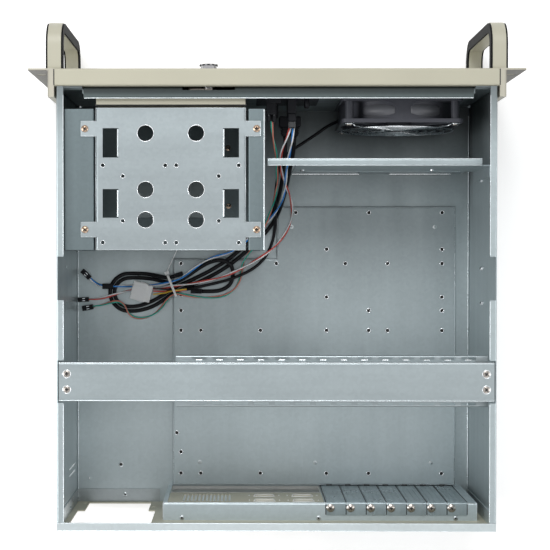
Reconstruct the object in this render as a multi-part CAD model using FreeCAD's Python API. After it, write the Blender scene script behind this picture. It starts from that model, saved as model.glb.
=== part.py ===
import FreeCAD, Part
import math
import os

# Empty 4U rackmount server case, 19 inch, cover taken off.
# Frame: X to the left as seen by someone who stands behind the case, so +X holds the drive cage;
# Y runs from the front panel (0) to the rear panel; Z is up, with 0 at the underside.
# The solids are built with Y = 0 on the front face and are moved at export, so that the row's
# origin is the bottom centre of the whole object's box, handles included.

V = FreeCAD.Vector

# ---------------------------------------------------------------- driving dimensions (mm)
RACK_WIDTH = 482.6            # over the ears, 19 inch
RACK_HOLE_WIDTH = 465.1       # between the slot centres, side to side
RACK_HOLE_RISE = 101.6        # between the slot centres of one ear, top to bottom
RACK_SLOT = (10.0, 7.0)       # slot length and width
PANEL_HEIGHT = 177.0          # 4 rack units less 0.8
PANEL_WIDTH = 432.0
PANEL_DEPTH = 16.9
BODY_WIDTH = 428.0
BODY_DEPTH = 450.0            # front face of the panel to the rear face
BODY_HEIGHT = 176.0
SHEET = 1.2                   # steel sheet
BEND = 0.8                    # inside bend radius
SIDE_FLANGE = 7.0             # inward flange along the top of the side walls
SEAT = 0.3                    # gap between parts that only pass each other

EAR_PLATE = 2.0
EAR_LEG = 6.0
EAR_LEG_DEPTH = 27.6
HANDLE_REACH = 48.0           # in front of the panel
HANDLE_WIDTH = 13.0
HANDLE_BAR = 11.0
HANDLE_BEND = 13.0
HANDLE_LOW, HANDLE_HIGH = 5.0, 172.0
TRIM = 1.8

WALL_BACK = 24.5              # rear face of the inner front wall
WALL_LEFT, WALL_RIGHT = 188.0, -192.0
RAIL_FRONT, RAIL_BACK = 17.2, 28.4
RAIL_TOP = 170.0
RAIL_LEG = 3.5

BAY_WIDTH = 146.8             # 5.25 inch bay opening
BAY_RISE = 42.3
BAY_COUNT = 3
BAY_CENTRE = 103.0
BAY_TOP = 166.4
BAY_FIT = 0.35
COVER_WALL = 1.8
COVER_FRONT = 20.6
COVER_BACK = 34.7

DOOR_LEFT, DOOR_RIGHT = 194.5, -61.5
DOOR_LOW, DOOR_HIGH = 12.0, 166.0
DOOR_GAP = 1.0
DOOR_DEPTH = 9.0
DOOR_AXIS = (5.0, 17.0)       # y and z of the hinge line
PIN_R = 2.0
PIN_FIT = 0.05
LOCK_X, LOCK_Z = 66.3, 151.5
LOCK_R = 8.0
LOCK_REACH = 6.3
PLUG_R = 5.5
CAM = (22.0, 9.0, 2.0)        # length from the axis, width, thickness
CAM_Y = 17.4
LATCH_SLOT = (40.3, 91.6)     # slot in the rail that the cam turns up into
LATCH_SLOT_BACK = 20.4

FAN_SIZE = 120.0
FAN_DEPTH = 25.0
FAN_X, FAN_Z = -125.5, 86.0
FAN_CORNER = 7.5              # from the frame's edge to a screw's centre line
FAN_HOLES = FAN_SIZE - 2 * FAN_CORNER
FAN_WALL = 2.0                # frame's edge to the duct, where it is thinnest
FAN_DUCT_R = FAN_SIZE / 2 - FAN_WALL
FAN_HUB_R = 20.0
FAN_BLADES = 7
FAN_SCREW_R = 2.1
GUARD_WIRE = 1.6
GUARD_EYE_R = 16.0            # smallest ring of the guard

CONTROL_LEFT, CONTROL_RIGHT = 19.0, -43.0
CONTROL_LOW, CONTROL_HIGH = 78.0, 164.0
CONTROL_SHEET = 2.0
BUTTON_X = 2.5
POWER_Z, RESET_Z = 143.0, 115.0
POWER_R, RESET_R = 6.0, 3.5
BUTTON_FIT = 0.3
BUTTON_TRAVEL = 2.5
LED_X, LED_R = -31.0, 2.5
LED_Z = (143.0, 128.0)
USB_X = -16.0
USB_Z = (138.0, 104.0)
USB_SIZE = (6.6, 14.6)
SOCKET_DEPTH = 14.0

CAGE_LEFT, CAGE_RIGHT = 208.2, 11.5
CAGE_TOP = 168.0
CAGE_FRONT, CAGE_REAR = 38.5, 176.0
CAGE_LEDGE_LEFT = 177.9
CAGE_LEDGE_RIGHT = 27.6
CABLE_WAY = (134.0, 190.0)    # opening in the rear foot of the cage's right wall
CABLE_WAY_HIGH = 34.0
BRACKET_LEFT, BRACKET_RIGHT = 175.9, 30.0
BRACKET_FRONT, BRACKET_REAR = 37.7, 176.0
BRACKET_SKIRT = 20.0
BRACKET_TAB_Y = (57.8, 156.1)
BRACKET_TAB_WIDTH = 14.6
BRACKET_TAB_REACH = 14.6
DRIVE_WIDTH = 101.6           # 3.5 inch drive held between the hanging tabs
DRIVE_HOLE_PITCH = 60.3       # two of its side holes

TRAY_TOP = 8.0
TRAY_LEFT, TRAY_RIGHT = 108.3, -197.0
TRAY_FRONT, TRAY_REAR = 128.0, 429.5
TRAY_NOTCH = (-4.0, 184.5)    # corner left out beside the drive cage
TRAY_HOLE_R = 1.7
BOARD_A, BOARD_REAR = 99.5, 416.8     # first column and rear row of the board's holes
BOARD_PITCH = (157.48, 124.46)        # between its three columns
BOARD_DEPTH = 154.94                  # between its two main rows

BAR_FRONT, BAR_REAR = 285.5, 323.0
BAR_HALF = 211.7
BAR_SCREW_X = 204.0
BAR_SCREW_PITCH = 15.2
BAR_SCREW_R = 2.0
NOTCH_FRONT, NOTCH_REAR = 182.5, 224.9   # second place for the bar
NOTCH_GAP = 2.0
HOLD_TOP = 160.0
HOLD_FRONT, HOLD_REAR = 279.3, 330.0
HOLD_LEFT, HOLD_RIGHT = 98.3, -208.0

SLOT_PITCH = 20.32            # card slots
SLOT_COUNT = 7
SLOT_FIRST_X = -61.9
SLOT_OPEN = 13.0
SLOT_COVER = 18.6
SLOT_SHEET = 0.9
SLOT_SCREW_OFFSET = 6.0
FRAME_FACE = 430.8            # front face of the rear recess
FRAME_TOP = 121.0
FRAME_LEFT, FRAME_RIGHT = 113.3, -203.7
IO_LEFT, IO_RIGHT = 109.0, -50.0
IO_APERTURE = (158.75, 44.45)
IO_APERTURE_LOW = 2.4
SHIELD_SHEET = 0.6
CHEEK_GAP = 0.1               # between the painted plate and the frame's cheek
REAR_PLATE = 1.4
REAR_FLANGE = 8.0
REAR_STRIP = 13.8
STRIP_END = 122.6             # inner end of the strip under the power-supply opening
PSU_SIZE = (86.0, 150.0)      # width and height of the power supply's face
PSU_X, PSU_LOW = 165.0, 8.0   # its centre line and its underside
PSU_NARROW, PSU_WIDE = 66.8, 81.6
PSU_STEP, PSU_HIGH = 60.0, 145.0

DIVIDER_Y = 92.5
DIVIDER_TOP = 150.0
DIVIDER_FLANGE = 7.0
DIVIDER_LEFT, DIVIDER_RIGHT = 8.2, -203.3
CABLE_NOTCH = -20.0           # the wall under the flange starts here and leaves room for the cables

SCREW_R = 3.6                 # pan heads
SCREW_HEAD = 2.0

# ---------------------------------------------------------------- harness sizes
USB_CORD = 4.2
LEAD = 3.0                     # a pair of thin wires
FAN_SLEEVE = 3.2
FAN_WIRE = 1.5
CORD_ARC = 0.45                # share of the shorter run that an arc takes up
USB_BLOCK = (-26.0, -4.0)      # moulded plug behind the lower socket, in x
USB_BLOCK_DEPTH = 19.5
USB_BOOT_DEPTH = 14.5
HEADER_PLUG = (12.0, 5.2, 5.0)            # length, width and height
SHORT_PLUG = (9.0, 4.8, 3.8)
SLEEVE_X = (172.5, 184.5)      # shrink sleeve on one pair of wires
CONNECTOR_X = (129.0, 155.0)   # four-way plug of the fan's lead
CONNECTOR_Y = (210.0, 231.5)
CONNECTOR_Z = (5.0, 14.8)
TIE_CENTRE = (108.5, 214.5)
TIE_ACROSS = (-0.374, 0.927)   # direction across the bundle
TIE_SPAN = (-13.2, 10.9)
TIE_RISE = (9.1, 18.7)
TIE_BAND = (1.0, 2.5)          # thickness and width
TIE_TAIL_END = (103.5, 175.0)
LEAD_BOSS_Z = (66.5, 73.5)     # boss on the fan's frame that the lead leaves by

# Control points of each cord, from the end at its socket, switch or fan.
USB_ROUTE_A = [   # goes out to the right-hand loop
    (-10.5, 59, 104.1), (-10.5, 70, 103), (-10, 82, 95), (-9, 95, 79), (-7.5, 109, 58), (-4.5, 123, 36),
    (1.5, 137, 19), (10.5, 149, 9.5), (21, 160.5, 6.8), (33.6, 173.2, 11.5), (47, 184.2, 11.4),
    (60.5, 193.2, 10.6), (75, 201.2, 10.6), (90.5, 208.6, 10.9), (107.9, 216.1, 12.5),
    (119.5, 224.2, 6.2), (132.5, 231.5, 3.6), (147.5, 236.6, 3.6), (162.8, 236.3, 3.6),
    (171.8, 227.3, 3.6), (171.8, 214.7, 3.6), (162.8, 205.7, 3.6), (148, 204.9, 3.6), (134.5, 205.8, 4),
    (122.5, 207.8, 7.6), (109.6, 211.6, 12.4), (98.5, 207, 11.2), (88, 200.3, 10.6), (78, 193.2, 11),
    (67, 187.4, 13.4), (54.5, 185.2, 16.6), (45, 190.5, 16.3), (42.6, 201, 11.4), (45.4, 212.2, 10.4),
    (55.5, 218.8, 10.4), (68, 219.9, 10.4), (77, 219.6, 10.6)]
USB_ROUTE_B = [   # ends beside the tie
    (-19.5, 59, 104.1), (-19.5, 70, 103), (-18, 82, 94), (-15.5, 95, 77), (-13, 110, 54), (-9.5, 125, 31),
    (-3.5, 140, 14.5), (5, 153, 7.6), (16.5, 164.8, 6.8), (29.6, 177.4, 11.5), (43, 188.4, 11.4),
    (57, 197.8, 10.6), (72, 205.9, 10.6), (88, 213.2, 10.9), (106.1, 220.4, 12.5), (117.5, 228.6, 6.2),
    (130.5, 236.8, 3.6), (147, 241.5, 3.6), (164.8, 241.1, 3.6), (176.6, 229.3, 3.6), (176.6, 212.7, 3.6),
    (164.8, 200.9, 3.6), (149, 200.3, 3.6), (135, 201, 4.4), (123.5, 203.4, 8.4), (112.5, 205.4, 11.8),
    (106, 203, 11.8)]
FAN_ROUTE = [   # from the fan to where its wires part
    (-66.8, 41.5, 69.9), (-57, 45.5, 71), (-43, 56, 76), (-29, 65.5, 83), (-17.5, 73, 88), (-9, 81.5, 87),
    (-4.6, 91, 79.5), (-3, 103, 66), (-1.8, 115, 52), (-1.8, 127, 37.5), (-2.2, 138, 24.5),
    (-2, 149.5, 14), (-0.8, 161, 8.6), (2.8, 172.3, 7.6), (8, 182.5, 10), (16, 191.2, 10.4),
    (26, 198, 12), (36.5, 202.8, 15), (48, 207.2, 15.6), (61, 210.6, 15.4), (74, 213.4, 15.4),
    (86, 216, 15.6), (93, 217.1, 15.8)]
WIRE_ROUTE_1 = [   # fan wire
    (92.6, 216.2, 15.3), (101, 217.3, 15.9), (107.2, 217.6, 16.1), (117.2, 217.5, 11.8),
    (129.4, 216.3, 9.8)]
WIRE_ROUTE_2 = [   # fan wire
    (92.6, 217.85, 15.3), (100.5, 219, 15.9), (106.6, 219.2, 16.1), (117.2, 220, 11.4),
    (129.4, 219.5, 9.8)]
WIRE_ROUTE_3 = [   # fan wire
    (92.6, 217.05, 16.75), (100.5, 218.2, 17.5), (107, 218.5, 17.8), (118.6, 222, 13), (129.4, 223, 9.8)]
SWITCH_ROUTE = [   # power switch pair
    (4.05, 47.9, 140.3), (3.5, 60, 137), (1, 71, 128), (-1.6, 82, 113), (-2.2, 94, 95), (-3, 106, 78),
    (-1.5, 118, 58), (1.5, 130, 42), (6, 141.5, 30), (11, 154, 20.5), (17, 166, 15), (25.5, 177.5, 14),
    (31.8, 187, 12.4), (34.3, 198, 10), (36, 209, 9.8), (43, 219.5, 9.8), (54.5, 225.3, 9.8),
    (68, 226.5, 9.8), (82, 226, 10.6), (94, 223.8, 14), (105.7, 221.2, 16.3), (114.5, 228.6, 11.8),
    (121, 238, 5.2), (129.5, 245.5, 2.9), (139.5, 249, 2.9), (149.5, 248.8, 3.6), (156.5, 244, 7.6),
    (160, 235, 8.4), (167, 230, 8.4), (177, 232, 8), (186, 235, 4.7), (195, 236.5, 4.2)]
LIGHT_ROUTE_A = [   # upper light pair
    (-17.7, 53.9, 138.2), (-16.8, 66, 136), (-14.3, 78, 126), (-12, 90, 110), (-11.5, 102, 90),
    (-11, 114, 68), (-8, 125, 48), (-2.5, 135, 33), (6, 145, 22), (16.5, 154, 16), (26.5, 163, 13.4),
    (35, 170, 12.8), (45, 177.5, 12.8), (55, 180.6, 12.8), (66, 183.2, 14.4), (76, 188.4, 15.4),
    (85, 194.9, 15.2), (93, 201, 15.2), (101, 206.5, 16), (110.4, 209.7, 16.3), (119.5, 211.8, 12.4),
    (129.5, 213.2, 5.2), (141, 213.7, 2.9), (154, 214, 2.9), (162.5, 214.2, 5.3), (170, 214.3, 8.3),
    (185.5, 214.3, 8.3), (193.5, 210.8, 4), (198.5, 205.6, 4)]
LIGHT_ROUTE_B = [   # lower light pair
    (-14.5, 53.9, 138.3), (-11, 65, 135), (-6.5, 75, 125), (-5, 86, 110), (-7, 97, 92), (-11.5, 108, 70),
    (-16.5, 117, 48), (-19.8, 127, 28), (-20.3, 138, 14.5), (-17, 151, 10.2), (-9.5, 163, 10.8),
    (0, 173.5, 12.4), (11, 181.6, 12.8), (22.5, 188.5, 13.4), (33, 194.5, 15.8), (45.5, 200.6, 17.2),
    (60, 205.6, 15.6), (75, 209, 15.4), (92, 212, 15.6), (108.7, 213.9, 16.3), (118, 215.8, 9.8),
    (128, 217.3, 3.4), (140, 218, 2.9), (154, 218.7, 2.9), (164, 220.9, 5.6), (172, 223.3, 8.2),
    (182, 226.5, 6.4), (191, 228.2, 4), (199.5, 228.6, 3.9)]

Y_CENTRE = (BODY_DEPTH - HANDLE_REACH) / 2.0
HALF = BODY_WIDTH / 2.0
INNER = HALF - SHEET
REAR_INNER = BODY_DEPTH - REAR_PLATE
PARTS = {}


# ---------------------------------------------------------------- shape helpers
def block(xs, ys, zs):
    """Box from pairs of limits, in any order."""
    lo = [min(pair) for pair in (xs, ys, zs)]
    size = [abs(pair[1] - pair[0]) for pair in (xs, ys, zs)]
    return Part.makeBox(size[0], size[1], size[2], V(*lo))


def rod(start, axis, radius, length):
    return Part.makeCylinder(radius, length, V(*start), V(*axis))


def fuse(shapes):
    return shapes[0].fuse(shapes[1:]).removeSplitter() if len(shapes) > 1 else shapes[0]


def cut(shape, tools):
    return shape.cut(tools) if tools else shape


def rounded(points, radii):
    """Edges along a flat polyline whose inner corners are arcs of the given radii."""
    edges = []
    last = points[0]
    for before, corner, after, radius in zip(points, points[1:], points[2:], radii):
        into = (corner - before).normalize()
        out = (after - corner).normalize()
        turn = into.getAngle(out)
        reach = radius * math.tan(turn / 2)
        start, end = corner - into * reach, corner + out * reach
        bisector = (out - into).normalize()
        centre = corner + bisector * (radius / math.cos(turn / 2))
        edges.append(Part.makeLine(last, start))
        edges.append(Part.Arc(start, centre - bisector * radius, end).toShape())
        last = end
    edges.append(Part.makeLine(last, points[-1]))
    return edges


def folded(profile, along, span, thickness=SHEET, inside=BEND):
    """Sheet folded along a profile and drawn out along an axis; its bends are round.

    The profile's pairs are (y, z) along "X", (x, z) along "Y" and (x, y) along "Z", and the
    metal lies to the left of the points as they are listed in that pair's own plane.
    """
    axes = {"X": (V(0, 1, 0), V(0, 0, 1), V(1, 0, 0)), "Y": (V(1, 0, 0), V(0, 0, 1), V(0, 1, 0)),
            "Z": (V(1, 0, 0), V(0, 1, 0), V(0, 0, 1))}
    right, up, out = axes[along]
    points = [right * a + up * b + out * span[0] for a, b in profile]
    normals = []
    for p, q in zip(points, points[1:]):
        d = (q - p).normalize()
        normals.append(up * d.dot(right) - right * d.dot(up))
    far = [points[0] + normals[0] * thickness]
    near_radii, far_radii = [], []
    for n, m, before, p in zip(normals, normals[1:], points, points[1:]):
        far.append(p + (n + m) * (thickness / (1 + n.dot(m))))
        left_turn = (m - n).dot(p - before) < 0
        near_radii.append(inside + thickness if left_turn else inside)
        far_radii.append(inside if left_turn else inside + thickness)
    far.append(points[-1] + normals[-1] * thickness)
    edges = rounded(points, near_radii) + [Part.makeLine(points[-1], far[-1])]
    edges += rounded(far[::-1], far_radii[::-1]) + [Part.makeLine(far[0], points[0])]
    return Part.Face(Part.Wire(edges)).extrude(out * (span[1] - span[0]))


def slot_tool(centre, length, width, depth, lengthwise, through):
    """Round-ended slot: `lengthwise` is the long axis and `through` the cutting axis."""
    c, a, t = V(*centre), V(*lengthwise), V(*through)
    side = t.cross(a)
    half = (length - width) / 2
    r = width / 2
    p = [c - a * half + side * r, c + a * half + side * r, c + a * half - side * r, c - a * half - side * r]
    edges = [Part.makeLine(p[0], p[1]), Part.Arc(p[1], c + a * (length / 2), p[2]).toShape(),
             Part.makeLine(p[2], p[3]), Part.Arc(p[3], c - a * (length / 2), p[0]).toShape()]
    tool = Part.Face(Part.Wire(edges)).extrude(t * depth)
    tool.translate(t * (-depth / 2))
    return tool


def down_holes(points, radius, z_low, z_high):
    return [rod((x, y, z_low), (0, 0, 1), radius, z_high - z_low) for x, y in points]


def pan_screw(at, axis, shank_r, shank, head_r=SCREW_R, head=SCREW_HEAD):
    """Screw seated at `at`: the head stands along `axis`, the shank goes the other way."""
    a = V(*axis)
    start = V(*at) - a * shank
    body = Part.makeCylinder(shank_r, shank, start, a)
    dome = Part.makeCylinder(head_r, head, V(*at), a)
    return body.fuse(dome).removeSplitter()


def add(name, *solids):
    """Keep a named piece: one solid, or a group of separate ones."""
    made = []
    for shape in solids:
        for solid in shape.Solids:
            made.append(solid if solid.Volume > 0 else solid.reversed())
    PARTS[name] = made[0] if len(made) == 1 else Part.makeCompound(made)


# ---------------------------------------------------------------- body
def chassis_shell():
    front, back = RAIL_FRONT, REAR_INNER
    top = BODY_HEIGHT
    profile = [(-HALF + SIDE_FLANGE, top), (-HALF, top), (-HALF, 0), (HALF, 0), (HALF, top),
               (HALF - SIDE_FLANGE, top)]
    shell = folded(profile, "Y", (front, back))
    corner = [block((inside, outside), (front, front + SHEET), (SHEET / 2, top - SHEET - BEND))
              for inside, outside in ((WALL_LEFT + 1, INNER + SHEET / 2), (WALL_RIGHT - 1, -INNER - SHEET / 2))]
    shell = fuse([shell] + corner)
    tools = []
    for y0, y1 in ((NOTCH_FRONT, NOTCH_REAR), (BAR_FRONT - NOTCH_GAP, BAR_REAR + NOTCH_GAP)):
        tools.append(block((-INNER, INNER), (y0, y1), (top - SHEET - BEND, top + 1)))
    tools.append(block((-HALF, HALF), (BODY_DEPTH - REAR_FLANGE - SEAT, BODY_DEPTH), (top - SHEET, top + 1)))
    tools.append(block((-INNER, INNER), (BODY_DEPTH - REAR_FLANGE - SEAT, BODY_DEPTH),
                       (top - SHEET - BEND, top + 1)))
    wall_z = 98.5
    for y in (193.3, 228.8, 355.0):
        for side in (-1, 1):
            tools.append(rod((side * (HALF + 1), y, wall_z), (-side, 0, 0), 1.8, SHEET + 2))
    for side, y in ((-1, 103.6), (-1, 194.2)):
        tools.append(rod((side * (HALF + 1), y, 88.0), (-side, 0, 0), 1.8, SHEET + 2))
    for y in (404.5, 411.5):                       # lanced bridge beside the power supply
        tools.append(block((HALF - 3, HALF + 1), (y - 0.8, y + 0.8), (18, 75)))
    tools += down_holes([(165.1, 408.3), (199.4, 423.3)], 2.1, -1, SHEET + 1)
    add("chassis_shell", cut(shell, tools))


def front_wall():
    """Inner front wall: a pan that stands back between the corner flanges of the body."""
    step = RAIL_FRONT + SHEET
    back = WALL_BACK
    profile = [(WALL_RIGHT - 19.5, step), (WALL_RIGHT, step), (WALL_RIGHT, back - SHEET),
               (WALL_LEFT, back - SHEET), (WALL_LEFT, step), (WALL_LEFT + 23.5, step)]
    wall = folded(profile, "Z", (SHEET, RAIL_TOP - SHEET))
    through = (step - 2, back + 2)
    tools = [
        block((BAY_CENTRE - BAY_WIDTH / 2, BAY_CENTRE + BAY_WIDTH / 2), through,
              (BAY_TOP - BAY_COUNT * BAY_RISE, BAY_TOP)),
        rod((FAN_X, back - 5, FAN_Z), (0, 1, 0), FAN_DUCT_R, 10),
        block((CONTROL_LEFT - 4, CONTROL_RIGHT + 4), through, (CONTROL_LOW + 4, CONTROL_HIGH - 4)),
    ]
    for x, z in fan_corners():
        tools.append(rod((x, back - 5, z), (0, 1, 0), FAN_SCREW_R, 10))
    add("front_wall", cut(wall, tools))


def front_rail():
    profile = [(RAIL_BACK, RAIL_TOP - RAIL_LEG), (RAIL_BACK, RAIL_TOP), (RAIL_FRONT, RAIL_TOP),
               (RAIL_FRONT, RAIL_TOP - RAIL_LEG)]
    rail = folded(profile, "X", (WALL_RIGHT + 0.2, WALL_LEFT - 0.2))
    slot = block(LATCH_SLOT, (RAIL_FRONT - 1, LATCH_SLOT_BACK), (RAIL_TOP - RAIL_LEG - 1, RAIL_TOP + 1))
    add("front_rail", cut(rail, [slot]))


def front_panel():
    """Painted front pan with the door opening and the fan's air slots."""
    w, d, h = PANEL_WIDTH / 2, PANEL_DEPTH, PANEL_HEIGHT
    lip = 10.0
    section = [(d, h - lip), (d, h), (0, h), (0, 0), (d, 0), (d, lip)]
    pan = folded(section, "X", (-w, w))
    sides = [block((side * w, side * (w - SHEET)), (BEND, d), (BEND, h - BEND)) for side in (-1, 1)]
    pan = fuse([pan] + sides)
    tools = [block((DOOR_RIGHT - DOOR_GAP, DOOR_LEFT + DOOR_GAP), (-1, SHEET + BEND),
                   (DOOR_LOW - DOOR_GAP, DOOR_HIGH + DOOR_GAP))]
    rows = 9
    for i in range(rows):
        z = FAN_Z + (i - (rows - 1) / 2) * 11.0
        half = math.sqrt(max(FAN_DUCT_R ** 2 - (z - FAN_Z) ** 2, 0))
        tools.append(slot_tool((FAN_X, SHEET / 2, z), 2 * half, 5.0, 4.0, (1, 0, 0), (0, 1, 0)))
    for side in (-1, 1):                           # screws of the ears
        for z in (40.0, 137.0):
            tools.append(rod((side * (w - 3), 8.5, z), (side, 0, 0), 2.1, 6))
    pan = cut(pan, tools)
    jamb = 12.0
    ears = []
    for x, out in ((DOOR_LEFT + DOOR_GAP, 1), (DOOR_RIGHT - DOOR_GAP, -1)):
        ears.append(block((x, x + out * SHEET), (0.6, jamb), (DOOR_LOW - DOOR_GAP, DOOR_HIGH)))
    pan = fuse([pan] + ears)
    pin_holes = [rod((x - 3, DOOR_AXIS[0], DOOR_AXIS[1]), (1, 0, 0), PIN_R, 6)
                 for x in (DOOR_LEFT + DOOR_GAP, DOOR_RIGHT - DOOR_GAP)]
    add("front_panel", cut(pan, pin_holes))


# ---------------------------------------------------------------- door and lock
def front_door():
    d = DOOR_DEPTH
    section = [(d, DOOR_HIGH), (0, DOOR_HIGH), (0, DOOR_LOW), (d - 3, DOOR_LOW)]
    door = folded(section, "X", (DOOR_RIGHT, DOOR_LEFT))
    cheeks = [block((x, x + out * SHEET), (BEND, d), (DOOR_LOW + BEND, DOOR_HIGH - BEND))
              for x, out in ((DOOR_LEFT, -1), (DOOR_RIGHT, 1))]
    door = fuse([door] + cheeks)
    tools = [rod((LOCK_X, -1, LOCK_Z), (0, 1, 0), LOCK_R - 0.6, 4)]
    for x in (DOOR_LEFT, DOOR_RIGHT):
        tools.append(rod((x - 3, DOOR_AXIS[0], DOOR_AXIS[1]), (1, 0, 0), PIN_R + PIN_FIT, 6))
    add("front_door", cut(door, tools))
    pins = []
    for x, out in ((DOOR_LEFT + DOOR_GAP + SHEET, -1), (DOOR_RIGHT - DOOR_GAP - SHEET, 1)):
        pins.append(rod((x, DOOR_AXIS[0], DOOR_AXIS[1]), (out, 0, 0), PIN_R, 6.0))
    add("door_hinge_pins", *pins)


def door_lock():
    """Cylinder lock: a fixed barrel in the door, a turning plug, and a cam on the plug."""
    barrel_back = CAM_Y - 0.6
    barrel = fuse([rod((LOCK_X, -LOCK_REACH, LOCK_Z), (0, 1, 0), LOCK_R, LOCK_REACH),
                   rod((LOCK_X, -1, LOCK_Z), (0, 1, 0), LOCK_R - 0.8, barrel_back + 1)])
    nut = Part.makePolygon([V(LOCK_X + 11 * math.cos(math.radians(60 * i)), SHEET,
                              LOCK_Z + 11 * math.sin(math.radians(60 * i))) for i in range(7)])
    barrel = fuse([barrel, Part.Face(nut).extrude(V(0, 3.0, 0))])
    bore = rod((LOCK_X, -LOCK_REACH - 1, LOCK_Z), (0, 1, 0), PLUG_R + PIN_FIT, 40)
    add("lock_body", barrel.cut(bore))
    plug = rod((LOCK_X, -LOCK_REACH + 0.6, LOCK_Z), (0, 1, 0), PLUG_R, LOCK_REACH - 0.6 + CAM_Y)
    key = block((LOCK_X - 0.8, LOCK_X + 0.8), (-LOCK_REACH, -LOCK_REACH + 5), (LOCK_Z - 3.5, LOCK_Z + 3.5))
    add("lock_plug", plug.cut(key))
    length, width, thick = CAM
    arm = block((LOCK_X, LOCK_X + length - width / 2), (CAM_Y, CAM_Y + thick),
                (LOCK_Z - width / 2, LOCK_Z + width / 2))
    tip = rod((LOCK_X + length - width / 2, CAM_Y, LOCK_Z), (0, 1, 0), width / 2, thick)
    eye = rod((LOCK_X, CAM_Y, LOCK_Z), (0, 1, 0), PLUG_R + 1, thick)
    add("lock_cam", fuse([arm, tip, eye]))


def bay_covers():
    """Plastic blanks: a face with a rim, and an open box that snaps into the bay."""
    for i, name in enumerate(("bay_cover_bottom", "bay_cover_middle", "bay_cover_top")):
        low = BAY_TOP - (BAY_COUNT - i) * BAY_RISE + BAY_FIT
        high = low + BAY_RISE - 2 * BAY_FIT
        half = BAY_WIDTH / 2 - BAY_FIT
        skin = block((BAY_CENTRE - half, BAY_CENTRE + half), (COVER_FRONT, COVER_BACK), (low, high))
        inner = block((BAY_CENTRE - half + COVER_WALL, BAY_CENTRE + half - COVER_WALL),
                      (COVER_FRONT + COVER_WALL, COVER_BACK + 1), (low + COVER_WALL, high - COVER_WALL))
        skin = skin.makeFillet(1.0, [e for e in skin.Edges if is_along_y(e)])
        rim = block((BAY_CENTRE - half - 1.5, BAY_CENTRE + half + 1.5),
                    (COVER_FRONT, WALL_BACK - SHEET), (low, high))
        add(name, fuse([skin, rim]).cut(inner))


def is_along_y(edge):
    a, b = edge.Vertexes[0].Point, edge.Vertexes[-1].Point
    return abs(a.x - b.x) < 1e-6 and abs(a.z - b.z) < 1e-6


# ---------------------------------------------------------------- control strip
def controls():
    """Plastic strip behind the door with the switches, the lights and the USB sockets."""
    front = WALL_BACK
    back = front + CONTROL_SHEET
    plate = block((CONTROL_LEFT, CONTROL_RIGHT), (front, back), (CONTROL_LOW, CONTROL_HIGH))
    holes = [rod((BUTTON_X, front - 1, POWER_Z), (0, 1, 0), POWER_R + BUTTON_FIT, 5),
             rod((BUTTON_X, front - 1, RESET_Z), (0, 1, 0), RESET_R + BUTTON_FIT, 5)]
    holes += [rod((LED_X, front - 1, z), (0, 1, 0), LED_R + 0.1, 5) for z in LED_Z]
    for z in USB_Z:
        holes.append(block((USB_X - USB_SIZE[0] / 2, USB_X + USB_SIZE[0] / 2), (front - 1, back + 1),
                           (z - USB_SIZE[1] / 2, z + USB_SIZE[1] / 2)))
    add("control_plate", plate.cut(holes))

    body_gap = BUTTON_TRAVEL + 1.0
    for name, z, r, size, depth in (("power", POWER_Z, POWER_R, 15.0, 18.0), ("reset", RESET_Z, RESET_R, 11.0, 12.0)):
        cap = rod((BUTTON_X, front - 5.5, z), (0, 1, 0), r, 5.5 + CONTROL_SHEET + 1)
        stem = rod((BUTTON_X, back + 1, z), (0, 1, 0), 1.6, body_gap + 6)
        add(name + "_button", fuse([cap, stem]))
        case_front = back + 1 + body_gap
        case = block((BUTTON_X - size / 2, BUTTON_X + size / 2), (case_front, case_front + depth),
                     (z - size / 2, z + size / 2))
        legs = [block((BUTTON_X + s * size / 2, BUTTON_X + s * (size / 2 - 1.5)), (back, case_front + 1),
                      (z - size / 2, z + size / 2)) for s in (-1, 1)]
        well = rod((BUTTON_X, case_front - 1, z), (0, 1, 0), 1.6 + BUTTON_FIT, 13)
        add(name + "_switch", fuse([case] + legs).cut(well))
    lights = [rod((LED_X, front - 1.5, z), (0, 1, 0), LED_R, CONTROL_SHEET + 9) for z in LED_Z]
    add("indicator_lights", *lights)
    sockets = []
    for z in USB_Z:
        outer = block((USB_X - 4.0, USB_X + 4.0), (back, back + SOCKET_DEPTH), (z - 8.5, z + 8.5))
        inside = block((USB_X - 2.6, USB_X + 2.6), (back - 1, back + 11), (z - 6.4, z + 6.4))
        tongue = block((USB_X + 0.3, USB_X + 2.6), (back + 1, back + 11.5), (z - 5.6, z + 5.6))
        sockets.append(outer.cut(inside).fuse(tongue))
    add("usb_ports", *sockets)


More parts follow.
